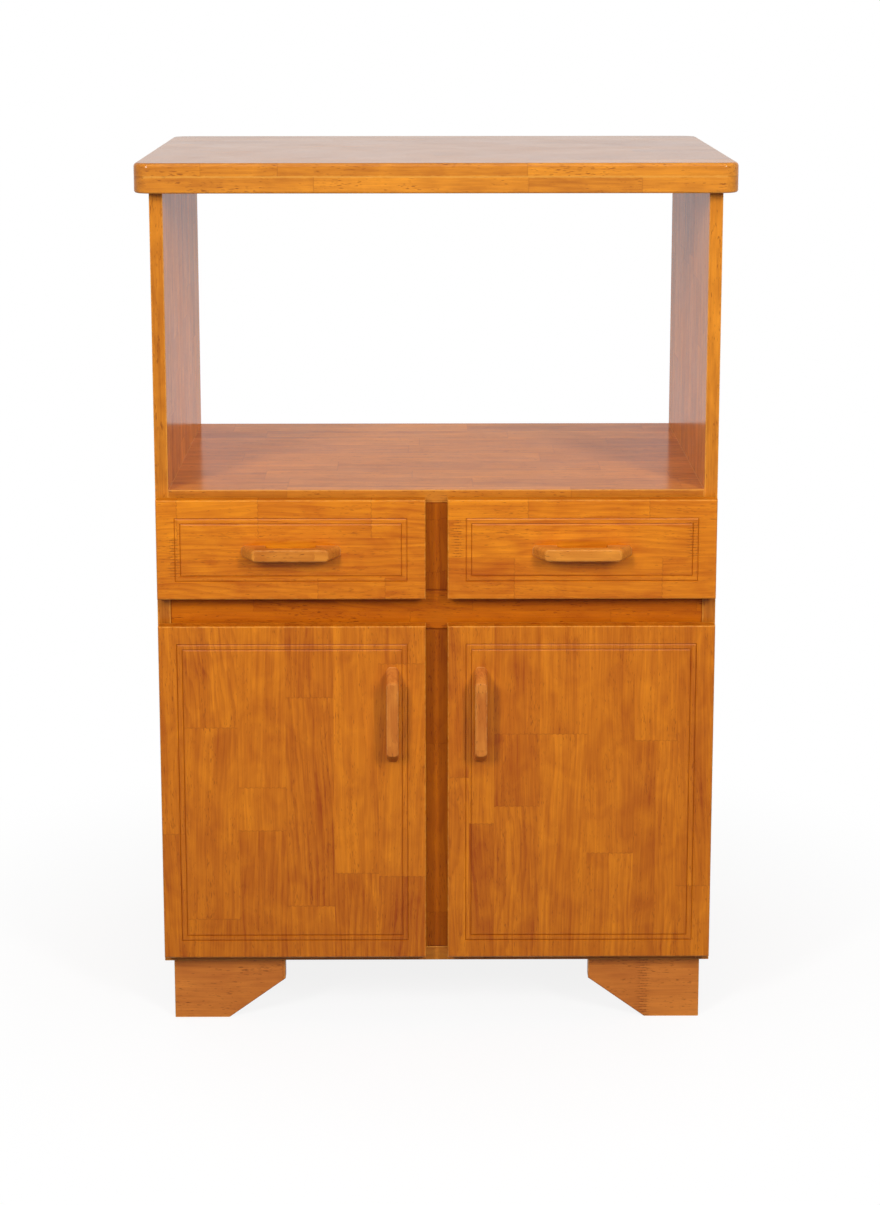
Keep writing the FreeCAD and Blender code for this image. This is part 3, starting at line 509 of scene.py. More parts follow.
@dataclass(frozen=True)
class FingerJoints(Effect):
    """Blocks of a stave between its finger joints, and the thin glue lines of those.

    Run and Side are metres along and across the grain.  Joints are shares of Length, and
    tones go with the blocks between them.  Fingers are blunt wedges, with steep flanks and
    flat tips; glue gathers on long flanks and stays faint on tips and on short fingers.
    """

    TITLE = "Finger Joints"
    INPUTS = {"Run": 0.0, "Side": 0.0, "Length": 1.0, "Joints": NOWHERE,
              "Tones": (0.5, 0.5, 0.5), "Last Tone": 0.5, "Reach": 0.001, "Pitch": 0.0064,
              "Line": 0.0004}
    OUTPUTS = ("Tone", "Number", "Joint")

    flank: Ramp = Ramp(0.17, 0.33)
    flat: float = 0.001
    line_edge: Ramp = Ramp(1.0, 2.2, 1.0, 0.0)
    ragged: Noise = Noise(420.0)
    ragged_edge: Ramp = Ramp(0.35, 0.6, 0.25, 1.0)
    short_glue: float = 0.4
    tip_glue: float = 0.15

    def draw(self, graph: Graph, given: dict[str, Socket]) -> dict[str, Socket]:
        """Draw the nodes.

        Args:
            graph: The group's graph.
            given: The group's inputs by name.

        Returns:
            What goes to each of the group's outputs.
        """
        tooth = graph.ramp(graph.math("PINGPONG", graph.over(given["Side"], given["Pitch"]),
                                      HALF), self.flank)
        level = graph.scaled(tooth, given["Reach"], given["Run"])
        on_flank = graph.product(graph.math("GREATER_THAN", tooth, self.flat),
                                 graph.math("LESS_THAN", tooth, 1.0 - self.flat))
        steepness = graph.over(graph.over(given["Reach"], self.flank.high - self.flank.low),
                               given["Pitch"])
        steepness = graph.most(graph.product(on_flank, steepness), 1.0)
        places = [graph.product(part, given["Length"])
                  for part in graph.split(given["Joints"])]
        past = [graph.math("GREATER_THAN", level, place) for place in places]
        tones = graph.split(given["Tones"])
        tone = tones[0]
        for gone, following in zip(past, (tones[1], tones[2], given["Last Tone"])):
            tone = graph.total(graph.product(following, gone),
                               graph.product(tone, graph.minus(1.0, gone)))
        near = [graph.math("ABSOLUTE", graph.minus(level, place)) for place in places]
        nearest = graph.over(graph.least(*near), steepness)
        ragged = graph.noise(graph.join(given["Run"], given["Side"], 0.0), self.ragged)
        flank_glue = graph.scaled(on_flank, 1.0 - self.tip_glue, self.tip_glue)
        joint = graph.product(
            graph.ramp(graph.over(nearest, given["Line"]), self.line_edge),
            graph.ramp(ragged, self.ragged_edge),
            graph.between(given["Reach"], Joint.STRAIGHT.value, Joint.COMB.value,
                          self.short_glue, flank_glue))
        return {"Tone": tone, "Number": graph.total(*past), "Joint": joint}


@dataclass(frozen=True)
class PaintedArrises(Effect):
    """Arrises of a board in another colour: a pale one is a painted highlight, partly rubbed
    varnish, and a dark one is painted shade.

    Point is measured from the board's lowest corner and Size is the board's size.  On a
    face the nearest side is that face, so the second nearest tells how far the nearest
    arris is.
    """

    TITLE = "Painted Arrises"
    INPUTS = {"Point": NOWHERE, "Size": (1.0, 1.0, 1.0), "Width": 0.002}
    OUTPUTS = ("Arris Mask",)

    unevenness: Noise = Noise(160.0, detail=3.0)
    unevenness_reach: Ramp = Ramp(0.3, 0.7, 0.5, 1.3)
    fade: Ramp = Ramp(0.25, 1.0, 1.0, 0.0, smooth=True)

    def draw(self, graph: Graph, given: dict[str, Socket]) -> dict[str, Socket]:
        """Draw the nodes.

        Args:
            graph: The group's graph.
            given: The group's inputs by name.

        Returns:
            What goes to each of the group's outputs.
        """
        far = graph.vector("SUBTRACT", given["Size"], given["Point"])
        x, y, z = graph.split(graph.vector("MINIMUM", given["Point"], far))
        second = graph.most(graph.least(x, y), graph.least(graph.most(x, y), z))
        reach = graph.product(given["Width"], graph.ramp(
            graph.noise(given["Point"], self.unevenness), self.unevenness_reach))
        return {"Arris Mask": graph.ramp(graph.over(second, reach), self.fade)}


@dataclass(frozen=True)
class PaintedGrooveShade(Effect):
    """Painted shade in the bottom of a routed line, where its walls keep the light out.

    Depth is measured from the face, Margin from the nearest edge of the panel, and Full is
    the depth of a line.
    """

    TITLE = "Painted Groove Shade"
    INPUTS = {"Depth": 0.0, "Margin": 0.0, "Full": 0.0008}
    OUTPUTS = ("Groove Shade",)

    fade: Ramp = Ramp(0.55, 0.85)
    deepest: float = 0.002
    least_margin: float = 0.006

    def draw(self, graph: Graph, given: dict[str, Socket]) -> dict[str, Socket]:
        """Draw the nodes.

        Args:
            graph: The group's graph.
            given: The group's inputs by name.

        Returns:
            What goes to each of the group's outputs.
        """
        sunk = graph.ramp(graph.over(given["Depth"], given["Full"]), self.fade)
        shallow = graph.math("LESS_THAN", given["Depth"], self.deepest)
        inside = graph.math("GREATER_THAN", given["Margin"], self.least_margin)
        return {"Groove Shade": graph.product(sunk, graph.product(shallow, inside))}


@dataclass(frozen=True)
class VarnishFilm(Effect):
    """Height of a brushed varnish film that follows the wood a little."""

    TITLE = "Varnish Film"
    INPUTS = {"Point": NOWHERE, "Fibre": 0.5, "Pores": 0.0, "Joint": 0.0}
    OUTPUTS = ("Height",)

    ripple: Noise = Noise((60.0, 160.0, 160.0), detail=1.0)
    ripple_height: float = 0.6
    fibre_height: float = 0.35
    pore_depth: float = 0.35
    joint_depth: float = 0.7

    def draw(self, graph: Graph, given: dict[str, Socket]) -> dict[str, Socket]:
        """Draw the nodes.

        Args:
            graph: The group's graph.
            given: The group's inputs by name.

        Returns:
            What goes to each of the group's outputs.
        """
        height = graph.scaled(graph.noise(given["Point"], self.ripple), self.ripple_height,
                              graph.product(given["Fibre"], self.fibre_height))
        sunk = graph.total(graph.product(given["Pores"], self.pore_depth),
                           graph.product(given["Joint"], self.joint_depth))
        return {"Height": graph.minus(height, sunk)}


@dataclass(frozen=True)
class Handling(Effect):
    """Faint smears and dust that make a gloss uneven; Size is how often they change."""

    TITLE = "Handling"
    INPUTS = {"Point": NOWHERE, "Size": 14.0}
    OUTPUTS = ("Smear",)

    smears: Noise = Noise(detail=4.0, roughness=0.6)
    fade: Ramp = Ramp(0.3, 0.75)

    def draw(self, graph: Graph, given: dict[str, Socket]) -> dict[str, Socket]:
        """The group's outputs from its inputs."""
        smears = graph.noise(given["Point"], self.smears, given["Size"])
        return {"Smear": graph.ramp(smears, self.fade)}


@dataclass(frozen=True)
class MouldedSkin(Effect):
    """The faint pebbled skin of moulded plastic, rubber and baked enamel."""

    TITLE = "Moulded Skin"
    INPUTS = {"Point": NOWHERE, "Grain": 900.0}
    OUTPUTS = ("Height", "Cloud")

    pebbles: Noise = Noise()
    clouds: Noise = Noise(38.0, detail=3.0)
    cloud_edge: Ramp = Ramp(0.3, 0.7)

    def draw(self, graph: Graph, given: dict[str, Socket]) -> dict[str, Socket]:
        """The group's outputs from its inputs."""
        clouds = graph.ramp(graph.noise(given["Point"], self.clouds), self.cloud_edge)
        return {"Height": graph.noise(given["Point"], self.pebbles, given["Grain"]),
                "Cloud": clouds}


@dataclass(frozen=True)
class FineScratches(Effect):
    """Fine scratches, in two directions, and dull patches of plated metal."""

    TITLE = "Fine Scratches"
    INPUTS = {"Point": NOWHERE, "Density": 1.0}
    OUTPUTS = ("Scratch", "Dull")

    strokes: tuple[Noise, ...] = (Noise((90.0, 2400.0, 2400.0)),
                                  Noise((2400.0, 90.0, 2400.0)))
    stroke_edge: Ramp = Ramp(0.6, 0.72)
    patches: Noise = Noise(120.0, detail=3.0)
    patch_edge: Ramp = Ramp(0.35, 0.7)

    def draw(self, graph: Graph, given: dict[str, Socket]) -> dict[str, Socket]:
        """Draw the nodes.

        Args:
            graph: The group's graph.
            given: The group's inputs by name.

        Returns:
            What goes to each of the group's outputs.
        """
        lines = graph.most(*(graph.ramp(graph.noise(given["Point"], stroke), self.stroke_edge)
                             for stroke in self.strokes))
        patches = graph.ramp(graph.noise(given["Point"], self.patches), self.patch_edge)
        return {"Scratch": graph.product(lines, given["Density"]), "Dull": patches}


EFFECTS: tuple[Effect, ...] = (WoodFigure(), FingerJoints(), PaintedArrises(), PaintedGrooveShade(),
                               VarnishFilm(), Handling(), MouldedSkin(), FineScratches())


# ----------------------------------------------------------------------------------------
# Glued boards
# ----------------------------------------------------------------------------------------
@dataclass(frozen=True)
class Stave:
    """One strip of a glued board.

    start is its edge as a share of the board's width.  joints are the places of its finger
    joints, as shares of the board's length, at most three of them, and tones go with the
    blocks between them, from 0 for the reddest and darkest to 1 for the palest.
    """

    start: float
    joints: tuple[float, ...]
    tones: tuple[float, ...]
    joint: Joint = Joint.STRAIGHT

    def three_joints(self) -> tuple[float, ...]:
        """The joints, the last one repeated up to three."""
        return self.joints + (self.joints[-1],) * (3 - len(self.joints))

    def four_tones(self) -> tuple[float, ...]:
        """The tones, the last one repeated up to four."""
        return self.tones + (self.tones[-1],) * (4 - len(self.tones))


@dataclass(frozen=True)
class Gluing:
    """How a board is glued up from random blocks.

    spread is how much the blocks differ in tone, up to 1, middle is their usual tone, and
    first are staves that come first, given one by one.  Blocks are measured in metres, the
    first joint's place is a share of the board's length, and trimmed is the share of the
    first stave that the board's edge cuts away.
    """

    stave: float = 0.049
    spread: float = 0.4
    middle: float = 0.5
    first: tuple[Stave, ...] = ()
    most_staves: int = 30
    trimmed: Range = (0.1, 0.9)
    widths: Range = (0.9, 1.1)
    first_joint: Range = (0.06, 0.9)
    short_block: Range = (0.14, 0.33)
    long_block: Range = (0.16, 0.36)
    longest_share: float = 0.6

    def staves(self, width: float, length: float, seed: int) -> tuple[Stave, ...]:
        """Lay out a board.

        Args:
            width: Width of the board across its grain.
            length: Length of the board along its grain.
            seed: Which of the possible boards to make.

        Returns:
            The staves from one edge to the other.
        """
        chance = random.Random(seed)
        staves = list(self.first)
        trimmed = 0.0 if self.first else chance.uniform(*self.trimmed)
        place = self.stave * (len(self.first) - trimmed)
        earliest, latest = self.first_joint
        while place < width and len(staves) < self.most_staves:
            gap = min(chance.uniform(*self.short_block) / length, self.longest_share)
            joints = [chance.uniform(earliest, latest - gap)]
            joints.append(joints[0] + gap)
            joints.append(joints[1] + chance.uniform(*self.long_block) / length)
            tones = tuple(self.middle + self.spread * chance.uniform(-HALF, HALF)
                          for _ in range(4))
            staves.append(Stave(max(place, 0.0) / width, tuple(joints), tones))
            place += self.stave * chance.uniform(*self.widths)
        return tuple(staves)


@dataclass(frozen=True)
class Grain:
    """How a board lies: the direction of its grain and that of its staves' widths."""

    along: Axis
    across: Axis

    @property
    def through(self) -> Axis:
        """The third direction."""
        return next(axis for axis in Axis if axis not in (self.along, self.across))

    def point(self, graph: Graph, vector: Socket) -> Socket:
        """Turn a place to the grain.

        Args:
            graph: Where to draw.
            vector: The place.

        Returns:
            The place as (along, across, through) the grain.
        """
        parts = graph.split(vector)
        return graph.join(*(parts[axis.value] for axis in
                            (self.along, self.across, self.through)))


@dataclass(frozen=True)
class Spot:
    """Where a material is read on a board.

    place is measured from the board's lowest corner, and point is the same place as
    (along, across, through) the grain.
    """

    coordinates: Socket
    place: Socket
    point: Socket
    size: Vector
    grain: Grain

    @staticmethod
    def on(graph: Graph, box: Box, grain: Grain) -> Spot:
        """Read places on a board.

        Args:
            graph: Where to draw.
            box: Lowest and highest corner of the board.
            grain: How the board lies.

        Returns:
            The spot.
        """
        low, high = box
        coordinates = graph.node("TexCoord").outputs["Object"]
        place = graph.vector("SUBTRACT", coordinates, tuple(low))
        return Spot(coordinates, place, grain.point(graph, place), high - low, grain)

    @property
    def length(self) -> float:
        """Length of the board along its grain."""
        return self.size[self.grain.along.value]

    @property
    def width(self) -> float:
        """Width of the board across its grain."""
        return self.size[self.grain.across.value]

    @property
    def thickness(self) -> float:
        """Thickness of the board."""
        return self.size[self.grain.through.value]


def stave_number(index: int, seed: int) -> float:
    """A number from 0 to 1 that differs between the staves of a board and between boards."""
    count, stave_stride, board_stride = 97, 37, 11
    return (index * stave_stride + seed * board_stride) % count / count


def figured(graph: Graph, figure: dict[str, Socket], shade: Socket,
            strengths: dict[str, float]) -> Socket:
    """Lay a wood's figure over its tone.

    Args:
        graph: Where to draw.
        figure: The parts of the figure by name.
        shade: The tone.
        strengths: How strongly each part shows.

    Returns:
        The tone with the figure, from 0 to 1.
    """
    for part, strength in strengths.items():
        shade = graph.scaled(graph.minus(figure[part], HALF), strength, shade)
    return graph.math("ADD", shade, 0.0, clamp=True)


@dataclass(frozen=True)
class WoodFinish:
    """Colours and surface of one kind of varnished wood.

    pale and deep are the colours of the palest and the darkest block, pore is that of
    pores, glue lines and the painted shade in routed lines, and edge that of the arrises:
    a pale edge is a painted highlight, partly rubbed varnish, and a dark one painted shade.
    The face gain is painted light and shade that makes the broad faces lighter or darker
    than the edges.
    """

    pale: Color
    deep: Color
    pore: Color
    # A pale arris colour is a painted highlight, partly rubbed varnish.
    edge: Color = (0.80, 0.38, 0.06)
    coat: float = 0.45
    gloss: float = 0.16
    ring_width: float = 0.006
    rings: float = 0.20
    bands: float = 0.80
    streaks: float = 0.70
    fibre: float = 0.55
    mottle: float = 0.75
    pores: float = 0.75
    glue: float = 0.8
    seam: float = 0.18
    finger_pitch: float = 0.0058
    line: float = 0.00036
    painted_arris: float = 0.45
    painted_arris_width: float = 0.0016
    groove_shade: float = 0.0
    painted_face_gain: float = 1.0
    edge_round: float = 0.001
    roughness: Range = (0.44, 0.58)
    smeared_coat: float = 0.86
    film_height: float = 0.00012
    film_ior: float = 1.35
    last_share: float = 0.9999

    def material(self, name: str, box: Box, grain: Grain, staves: Sequence[Stave],
                 seed: int) -> bpy.types.Material:
        """Draw the material of one board.

        Args:
            name: Name of the material.
            box: Lowest and highest corner of the board.
            grain: How the board lies.
            staves: The board's layout.
            seed: A number that no other board has.

        Returns:
            The material.
        """
        material, graph = start_material(name)
        spot = Spot.on(graph, box, grain)
        run, side, _ = graph.split(spot.point)
        share = graph.product(graph.math("DIVIDE", side, spot.width, clamp=True),
                              self.last_share)
        joints = graph.steps(share, [
            (stave.start, (*stave.three_joints(), stave_number(index, seed)))
            for index, stave in enumerate(staves)])
        tones = graph.steps(share, [(stave.start, stave.four_tones()) for stave in staves])
        reach = graph.steps(share, [(stave.start, (stave.joint.value,) * 3)
                                    for stave in staves])
        blocks = graph.place(
            FingerJoints, Run=run, Side=side, Length=spot.length, Joints=joints.outputs[0],
            Tones=tones.outputs[0], Last_Tone=tones.outputs[1], Reach=reach.outputs[0],
            Pitch=self.finger_pitch, Line=self.line)
        block = graph.random(graph.join(joints.outputs[1], blocks["Number"], float(seed)))
        figure = graph.place(WoodFigure, Point=spot.point, Block=block,
                             Ring_Width=self.ring_width)
        film = graph.place(VarnishFilm, Point=spot.point, Fibre=figure["Fibre"],
                           Pores=figure["Pores"], Joint=blocks["Joint"])
        smear = graph.place(Handling, Point=spot.coordinates)["Smear"]
        graph.surface(
            Base_Color=self.color(graph, spot, blocks, figure,
                                  self.seams(graph, share, staves, spot.width)),
            Roughness=graph.blend(smear, self.roughness),
            Coat_Weight=graph.blend(smear, (self.coat, self.coat * self.smeared_coat)),
            Normal=graph.bump(film["Height"], self.film_height),
            Specular_IOR_Level=0.0, Coat_Roughness=self.gloss, Coat_IOR=self.film_ior)
        return material

    def color(self, graph: Graph, spot: Spot, blocks: dict[str, Socket],
              figure: dict[str, Socket], seams: Socket) -> Socket:
        """Colour the wood: its tone and figure, its dark lines, and the painted light and
        shade of its routed lines, broad faces and arrises.

        Args:
            graph: Where to draw.
            spot: Where the material is read.
            blocks: Tones and joints of the blocks.
            figure: Rings, fibre and pores.
            seams: Glue lines between staves.

        Returns:
            The colour.
        """
        shade = graph.minus(blocks["Tone"], graph.product(figure["Rings"], self.rings))
        color = graph.mix(figured(graph, figure, shade, {
            "Bands": self.bands, "Streaks": self.streaks, "Fibre": self.fibre,
            "Mottle": self.mottle}), self.deep, self.pale)
        dark = graph.most(graph.product(blocks["Joint"], self.glue),
                          graph.product(seams, self.glue * self.seam),
                          graph.product(figure["Pores"], self.pores))
        # Painted shade in the bottom of the routed lines.
        if self.groove_shade:
            dark = graph.most(dark, self.groove_shading(graph, spot))
        color = graph.mix(dark, color, self.pore)
        # Painted light and shade: broad faces lighter or darker than the edges.
        if self.painted_face_gain != 1.0:
            color = graph.vector("SCALE", color, self.painted_face_shade(graph, spot))
        # Pale arrises are a painted highlight, partly rubbed varnish; dark ones are painted
        # shade.
        arris_mask = graph.place(PaintedArrises, Point=spot.place, Size=tuple(spot.size),
                           Width=self.painted_arris_width)["Arris Mask"]
        return graph.mix(graph.product(arris_mask, self.painted_arris), color, self.edge)

    def seams(self, graph: Graph, share: Socket, staves: Sequence[Stave],
              width: float) -> Socket:
        """Draw glue lines between staves, where the layout differs a hair to one side.

        Args:
            graph: Where to draw.
            share: Place across the board, from 0 to 1.
            staves: The board's layout.
            width: Width of the board.

        Returns:
            1 in a glue line and 0 elsewhere.
        """
        stops = [(stave.start, (index % 2,) * 3) for index, stave in enumerate(staves)]
        beside = graph.math("ADD", share, self.line / width, clamp=True)
        return graph.math("ABSOLUTE", graph.minus(graph.steps(beside, stops).outputs[0],
                                                  graph.steps(share, stops).outputs[0]))

    def painted_face_shade(self, graph: Graph, spot: Spot) -> Socket:
        """Work out the painted light and shade on the broad faces.

        Args:
            graph: Where to draw.
            spot: Where the material is read.

        Returns:
            The face gain on the broad faces and 1 on the edges.
        """
        through = graph.split(spot.point)[2]
        inward = graph.math("PINGPONG", through, spot.thickness * HALF)
        return graph.between(inward, 0.0, self.edge_round, self.painted_face_gain, 1.0)

    def groove_shading(self, graph: Graph, spot: Spot) -> Socket:
        """Draw painted shade in the routed lines of a front, whose face is its low side.

        Args:
            graph: Where to draw.
            spot: Where the material is read.

        Returns:
            How dark the painted shade is.
        """
        margin = graph.vector("MINIMUM", spot.place,
                              graph.vector("SUBTRACT", tuple(spot.size), spot.place))
        along, across, _ = graph.split(spot.grain.point(graph, margin))
        depth = graph.split(spot.place)[spot.grain.through.value]
        groove_shade = graph.place(PaintedGrooveShade, Depth=depth, Margin=graph.least(along, across))
        return graph.product(groove_shade["Groove Shade"], self.groove_shade)


@dataclass(frozen=True)
class Board:
    """A wooden piece of the stand: how its grain runs and how it is glued up.

    staves is the whole layout where it is known; otherwise gluing makes one.
    """

    node: str
    grain: Grain
    finish: WoodFinish
    seed: int
    staves: tuple[Stave, ...] = ()
    gluing: Gluing = Gluing()

    def dress(self, nodes: Nodes) -> None:
        """Give the piece its wood.

        Args:
            nodes: The frame's nodes by name.
        """
        low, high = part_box(self.node)
        size = high - low
        staves = self.staves or self.gluing.staves(
            size[self.grain.across.value], size[self.grain.along.value], self.seed)
        cover(nodes[self.node], self.finish.material(
            self.node + "_wood", (low, high), self.grain, staves, self.seed))
        log.info("  %s: wood in %d staves", self.node, len(staves))


# ----------------------------------------------------------------------------------------
# Other finishes
# ----------------------------------------------------------------------------------------
@dataclass(frozen=True)
class PlyFinish:
    """Thin plywood: rotary-cut faces and crossed plies on its edges.

    tone, rings, bands, streaks and fibre make the faces' figure, and heart makes each
    sheet's own.  skin is the share of the thickness that hides the crossed ply, core_shown
    how plainly that ply shows on the edges.
    """

    face: Color
    deep: Color
    core: Color
    plies: int = 3
    ring_width: float = 0.022
    waviness: float = 0.02
    heart: Triple = (0.37, 0.9, 0.61)
    tone: float = 0.62
    rings: float = -0.30
    bands: float = 0.45
    streaks: float = 0.35
    fibre: float = 0.3
    skin: float = 0.02
    core_shown: float = 0.7
    roughness: Range = (0.48, 0.66)
    relief: float = 0.0001
    coat: float = 0.12
    gloss: float = 0.4

    def material(self, name: str, box: Box, grain: Grain, seed: int) -> bpy.types.Material:
        """Draw the material of one sheet.

        Args:
            name: Name of the material.
            box: Lowest and highest corner of the sheet.
            grain: How the faces' grain runs.
            seed: A number that no other sheet has.

        Returns:
            The material.
        """
        material, graph = start_material(name)
        spot = Spot.on(graph, box, grain)
        aside, steepness, turn = self.heart
        figure = graph.place(WoodFigure, Point=spot.point, Ring_Width=self.ring_width,
                             Block=(seed * aside % 1.0, steepness, seed * turn % 1.0),
                             Waviness=self.waviness)
        shade = graph.total(self.tone, graph.product(figure["Rings"], self.rings))
        color = graph.mix(figured(graph, figure, shade, {
            "Bands": self.bands, "Streaks": self.streaks, "Fibre": self.fibre}),
            self.deep, self.face)
        depth = graph.split(spot.point)[2]
        layer = graph.math("PINGPONG", graph.over(depth, spot.thickness / self.plies), 1.0)
        inner = graph.math("LESS_THAN", layer, HALF)
        inside = graph.math("GREATER_THAN", graph.math(
            "PINGPONG", graph.over(depth, spot.thickness), HALF), self.skin)
        color = graph.mix(graph.product(inner, graph.product(inside, self.core_shown)),
                          color, self.core)
        graph.surface(
            Base_Color=color, Roughness=graph.blend(figure["Fibre"], self.roughness),
            Normal=graph.bump(graph.minus(figure["Fibre"], figure["Pores"]), self.relief),
            Coat_Weight=self.coat, Coat_Roughness=self.gloss)
        return material


@dataclass(frozen=True)
class Sheet:
    """A plywood piece."""

    node: str
    grain: Grain
    finish: PlyFinish
    seed: int

    def dress(self, nodes: Nodes) -> None:
        """Give the piece its plywood.

        Args:
            nodes: The frame's nodes by name.
        """
        cover(nodes[self.node], self.finish.material(
            self.node + "_plywood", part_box(self.node), self.grain, self.seed))
        log.info("  %s: plywood", self.node)


@dataclass(frozen=True)
class PlatedFinish:
    """Plated steel with fine scratches and duller patches."""

    name: str
    bright: Color
    dull: Color
    roughness: float
    scratches: float = 0.5
    smear_size: float = 60.0
    smeared: float = 0.12
    scratched: float = 0.12
    scratch_depth: float = 0.00003

    def material(self) -> bpy.types.Material:
        """Draw the material.

        Returns:
            The material.
        """
        material, graph = start_material(self.name)
        point = graph.node("TexCoord").outputs["Object"]
        marks = graph.place(FineScratches, Point=point, Density=self.scratches)
        smear = graph.place(Handling, Point=point, Size=self.smear_size)["Smear"]
        roughness = graph.total(
            graph.blend(smear, (self.roughness, self.roughness + self.smeared)),
            graph.product(marks["Scratch"], self.scratched))
        graph.surface(
            Base_Color=graph.mix(marks["Dull"], self.bright, self.dull),
            Roughness=roughness, Metallic=1.0,
            Normal=graph.bump(graph.minus(1.0, marks["Scratch"]), self.scratch_depth))
        return material


@dataclass(frozen=True)
class MouldedFinish:
    """Plastic, rubber or baked enamel: one clouded colour under a faint pebbled skin."""

    name: str
    clean: Color
    tinted: Color
    roughness: float
    grain: float = 900.0
    pebble: float = 0.00004
    coat: float = 0.0
    smear_size: float = 45.0
    smeared: float = 0.14

    def material(self) -> bpy.types.Material:
        """Draw the material.

        Returns:
            The material.
        """
        material, graph = start_material(self.name)
        point = graph.node("TexCoord").outputs["Object"]
        skin = graph.place(MouldedSkin, Point=point, Grain=self.grain)
        smear = graph.place(Handling, Point=point, Size=self.smear_size)["Smear"]
        graph.surface(
            Base_Color=graph.mix(skin["Cloud"], self.clean, self.tinted),
            Roughness=graph.blend(smear, (self.roughness, self.roughness + self.smeared)),
            Normal=graph.bump(skin["Height"], self.pebble), Coat_Weight=self.coat)
        return material


@dataclass(frozen=True)
class Fittings:
    """Pieces of hardware that share a finish."""

    finish: Union[PlatedFinish, MouldedFinish]
    names: tuple[str, ...]

    def dress(self, nodes: Nodes) -> None:
        """Give the pieces their finish.

        Args:
            nodes: The frame's nodes by name.
        """
        material = bpy.data.materials.get(self.finish.name) or self.finish.material()
        for name in self.names:
            cover(nodes[name], material)
            log.info("  %s: %s", name, self.finish.name)


Piece = Union[Board, Sheet, Fittings]


# ----------------------------------------------------------------------------------------
# Finishes of the stand
# ----------------------------------------------------------------------------------------
# Doors and drawers darken the bottom of their routed lines: painted shade.
DOOR = WoodFinish(pale=(0.72, 0.225, 0.009), deep=(0.33, 0.060, 0.003),
                  pore=(0.18, 0.029, 0.002), coat=0.55, pores=0.5, groove_shade=0.62)
DRAWER = WoodFinish(pale=(0.78, 0.255, 0.010), deep=(0.40, 0.074, 0.003),
                    pore=(0.20, 0.036, 0.003), coat=0.55, pores=0.5, groove_shade=0.62)
FRAME = WoodFinish(pale=(0.67, 0.24, 0.018), deep=(0.42, 0.11, 0.009),
                   pore=(0.20, 0.040, 0.004), coat=0.50)
# The sides' broad faces are painted lighter than their edges, the right side's less so:
# painted light.
SIDE_LEFT = replace(FRAME, pale=(0.74, 0.262, 0.020), deep=(0.32, 0.082, 0.006),
                    painted_face_gain=1.28)
SIDE_RIGHT = replace(SIDE_LEFT, painted_face_gain=1.17)
# The shelf's broad faces are painted lighter than its edges: painted light.
SHELF = WoodFinish(pale=(0.61, 0.212, 0.018), deep=(0.34, 0.096, 0.009),
                   pore=(0.20, 0.044, 0.005), coat=0.50, painted_face_gain=1.47)
# The mid rail sits back between the fronts: its darker, redder colour is painted shade, and
# its dark arrises are painted shade in its corners.
SHADED_RAIL = WoodFinish(pale=(0.60, 0.162, 0.004), deep=(0.33, 0.064, 0.003),
                  pore=(0.16, 0.028, 0.002), edge=(0.20, 0.036, 0.002), coat=0.20,
                  painted_arris=0.6, painted_arris_width=0.002)
# The stiles sit back between the fronts: their still darker colour is painted shade.
SHADED_RECESS = replace(SHADED_RAIL, pale=(0.51, 0.135, 0.004), deep=(0.29, 0.056, 0.003))
# The top's broad face is painted darker than its edges: painted shade.
TOP = WoodFinish(pale=(0.74, 0.272, 0.020), deep=(0.36, 0.098, 0.008),
                 pore=(0.20, 0.045, 0.005), coat=0.80, gloss=0.14, painted_face_gain=0.78)
FOOT = WoodFinish(pale=(0.71, 0.235, 0.036), deep=(0.43, 0.114, 0.018),
                  pore=(0.16, 0.034, 0.006), coat=0.5)
# The handles' pale arrises are a painted highlight, partly rubbed varnish.
GRIP = WoodFinish(pale=(0.72, 0.272, 0.036), deep=(0.43, 0.119, 0.015),
                  pore=(0.20, 0.055, 0.012), edge=(0.76, 0.36, 0.10), coat=0.35,
                  gloss=0.28, mottle=1.1, pores=0.9, glue=0.0, painted_arris=0.5)
PULL = replace(GRIP, pale=(0.72, 0.262, 0.042), deep=(0.43, 0.110, 0.017))
BOX = WoodFinish(pale=(0.72, 0.50, 0.28), deep=(0.52, 0.32, 0.15), pore=(0.30, 0.17, 0.08),
                 edge=(0.80, 0.62, 0.40), coat=0.15, gloss=0.4)
PLY = PlyFinish(face=(0.70, 0.45, 0.22), deep=(0.52, 0.29, 0.11), core=(0.40, 0.24, 0.12))
ENAMEL = MouldedFinish("cream_enamel", (0.82, 0.78, 0.66), (0.76, 0.71, 0.58), 0.32,
                       grain=420.0, pebble=0.00006, coat=0.25)
NYLON = MouldedFinish("white_nylon", (0.80, 0.79, 0.74), (0.72, 0.70, 0.62), 0.42)
RUBBER = MouldedFinish("soft_rubber", (0.42, 0.43, 0.42), (0.33, 0.34, 0.33), 0.55,
                       grain=600.0, pebble=0.00008)
NICKEL = PlatedFinish("nickel_steel", (0.74, 0.71, 0.66), (0.60, 0.57, 0.52), 0.22)
ZINC = PlatedFinish("zinc_steel", (0.72, 0.73, 0.74), (0.58, 0.58, 0.56), 0.34, 0.7)

ALONG_X_DEEP = Grain(Axis.X, Axis.Y)
ALONG_X_UPRIGHT = Grain(Axis.X, Axis.Z)
ALONG_Y_FLAT = Grain(Axis.Y, Axis.X)
ALONG_Y_UPRIGHT = Grain(Axis.Y, Axis.Z)
UPRIGHT_DEEP = Grain(Axis.Z, Axis.Y)
UPRIGHT_WIDE = Grain(Axis.Z, Axis.X)


class Side(Enum):
    """The two halves of the stand, seen from the front."""

    LEFT = "left"
    RIGHT = "right"


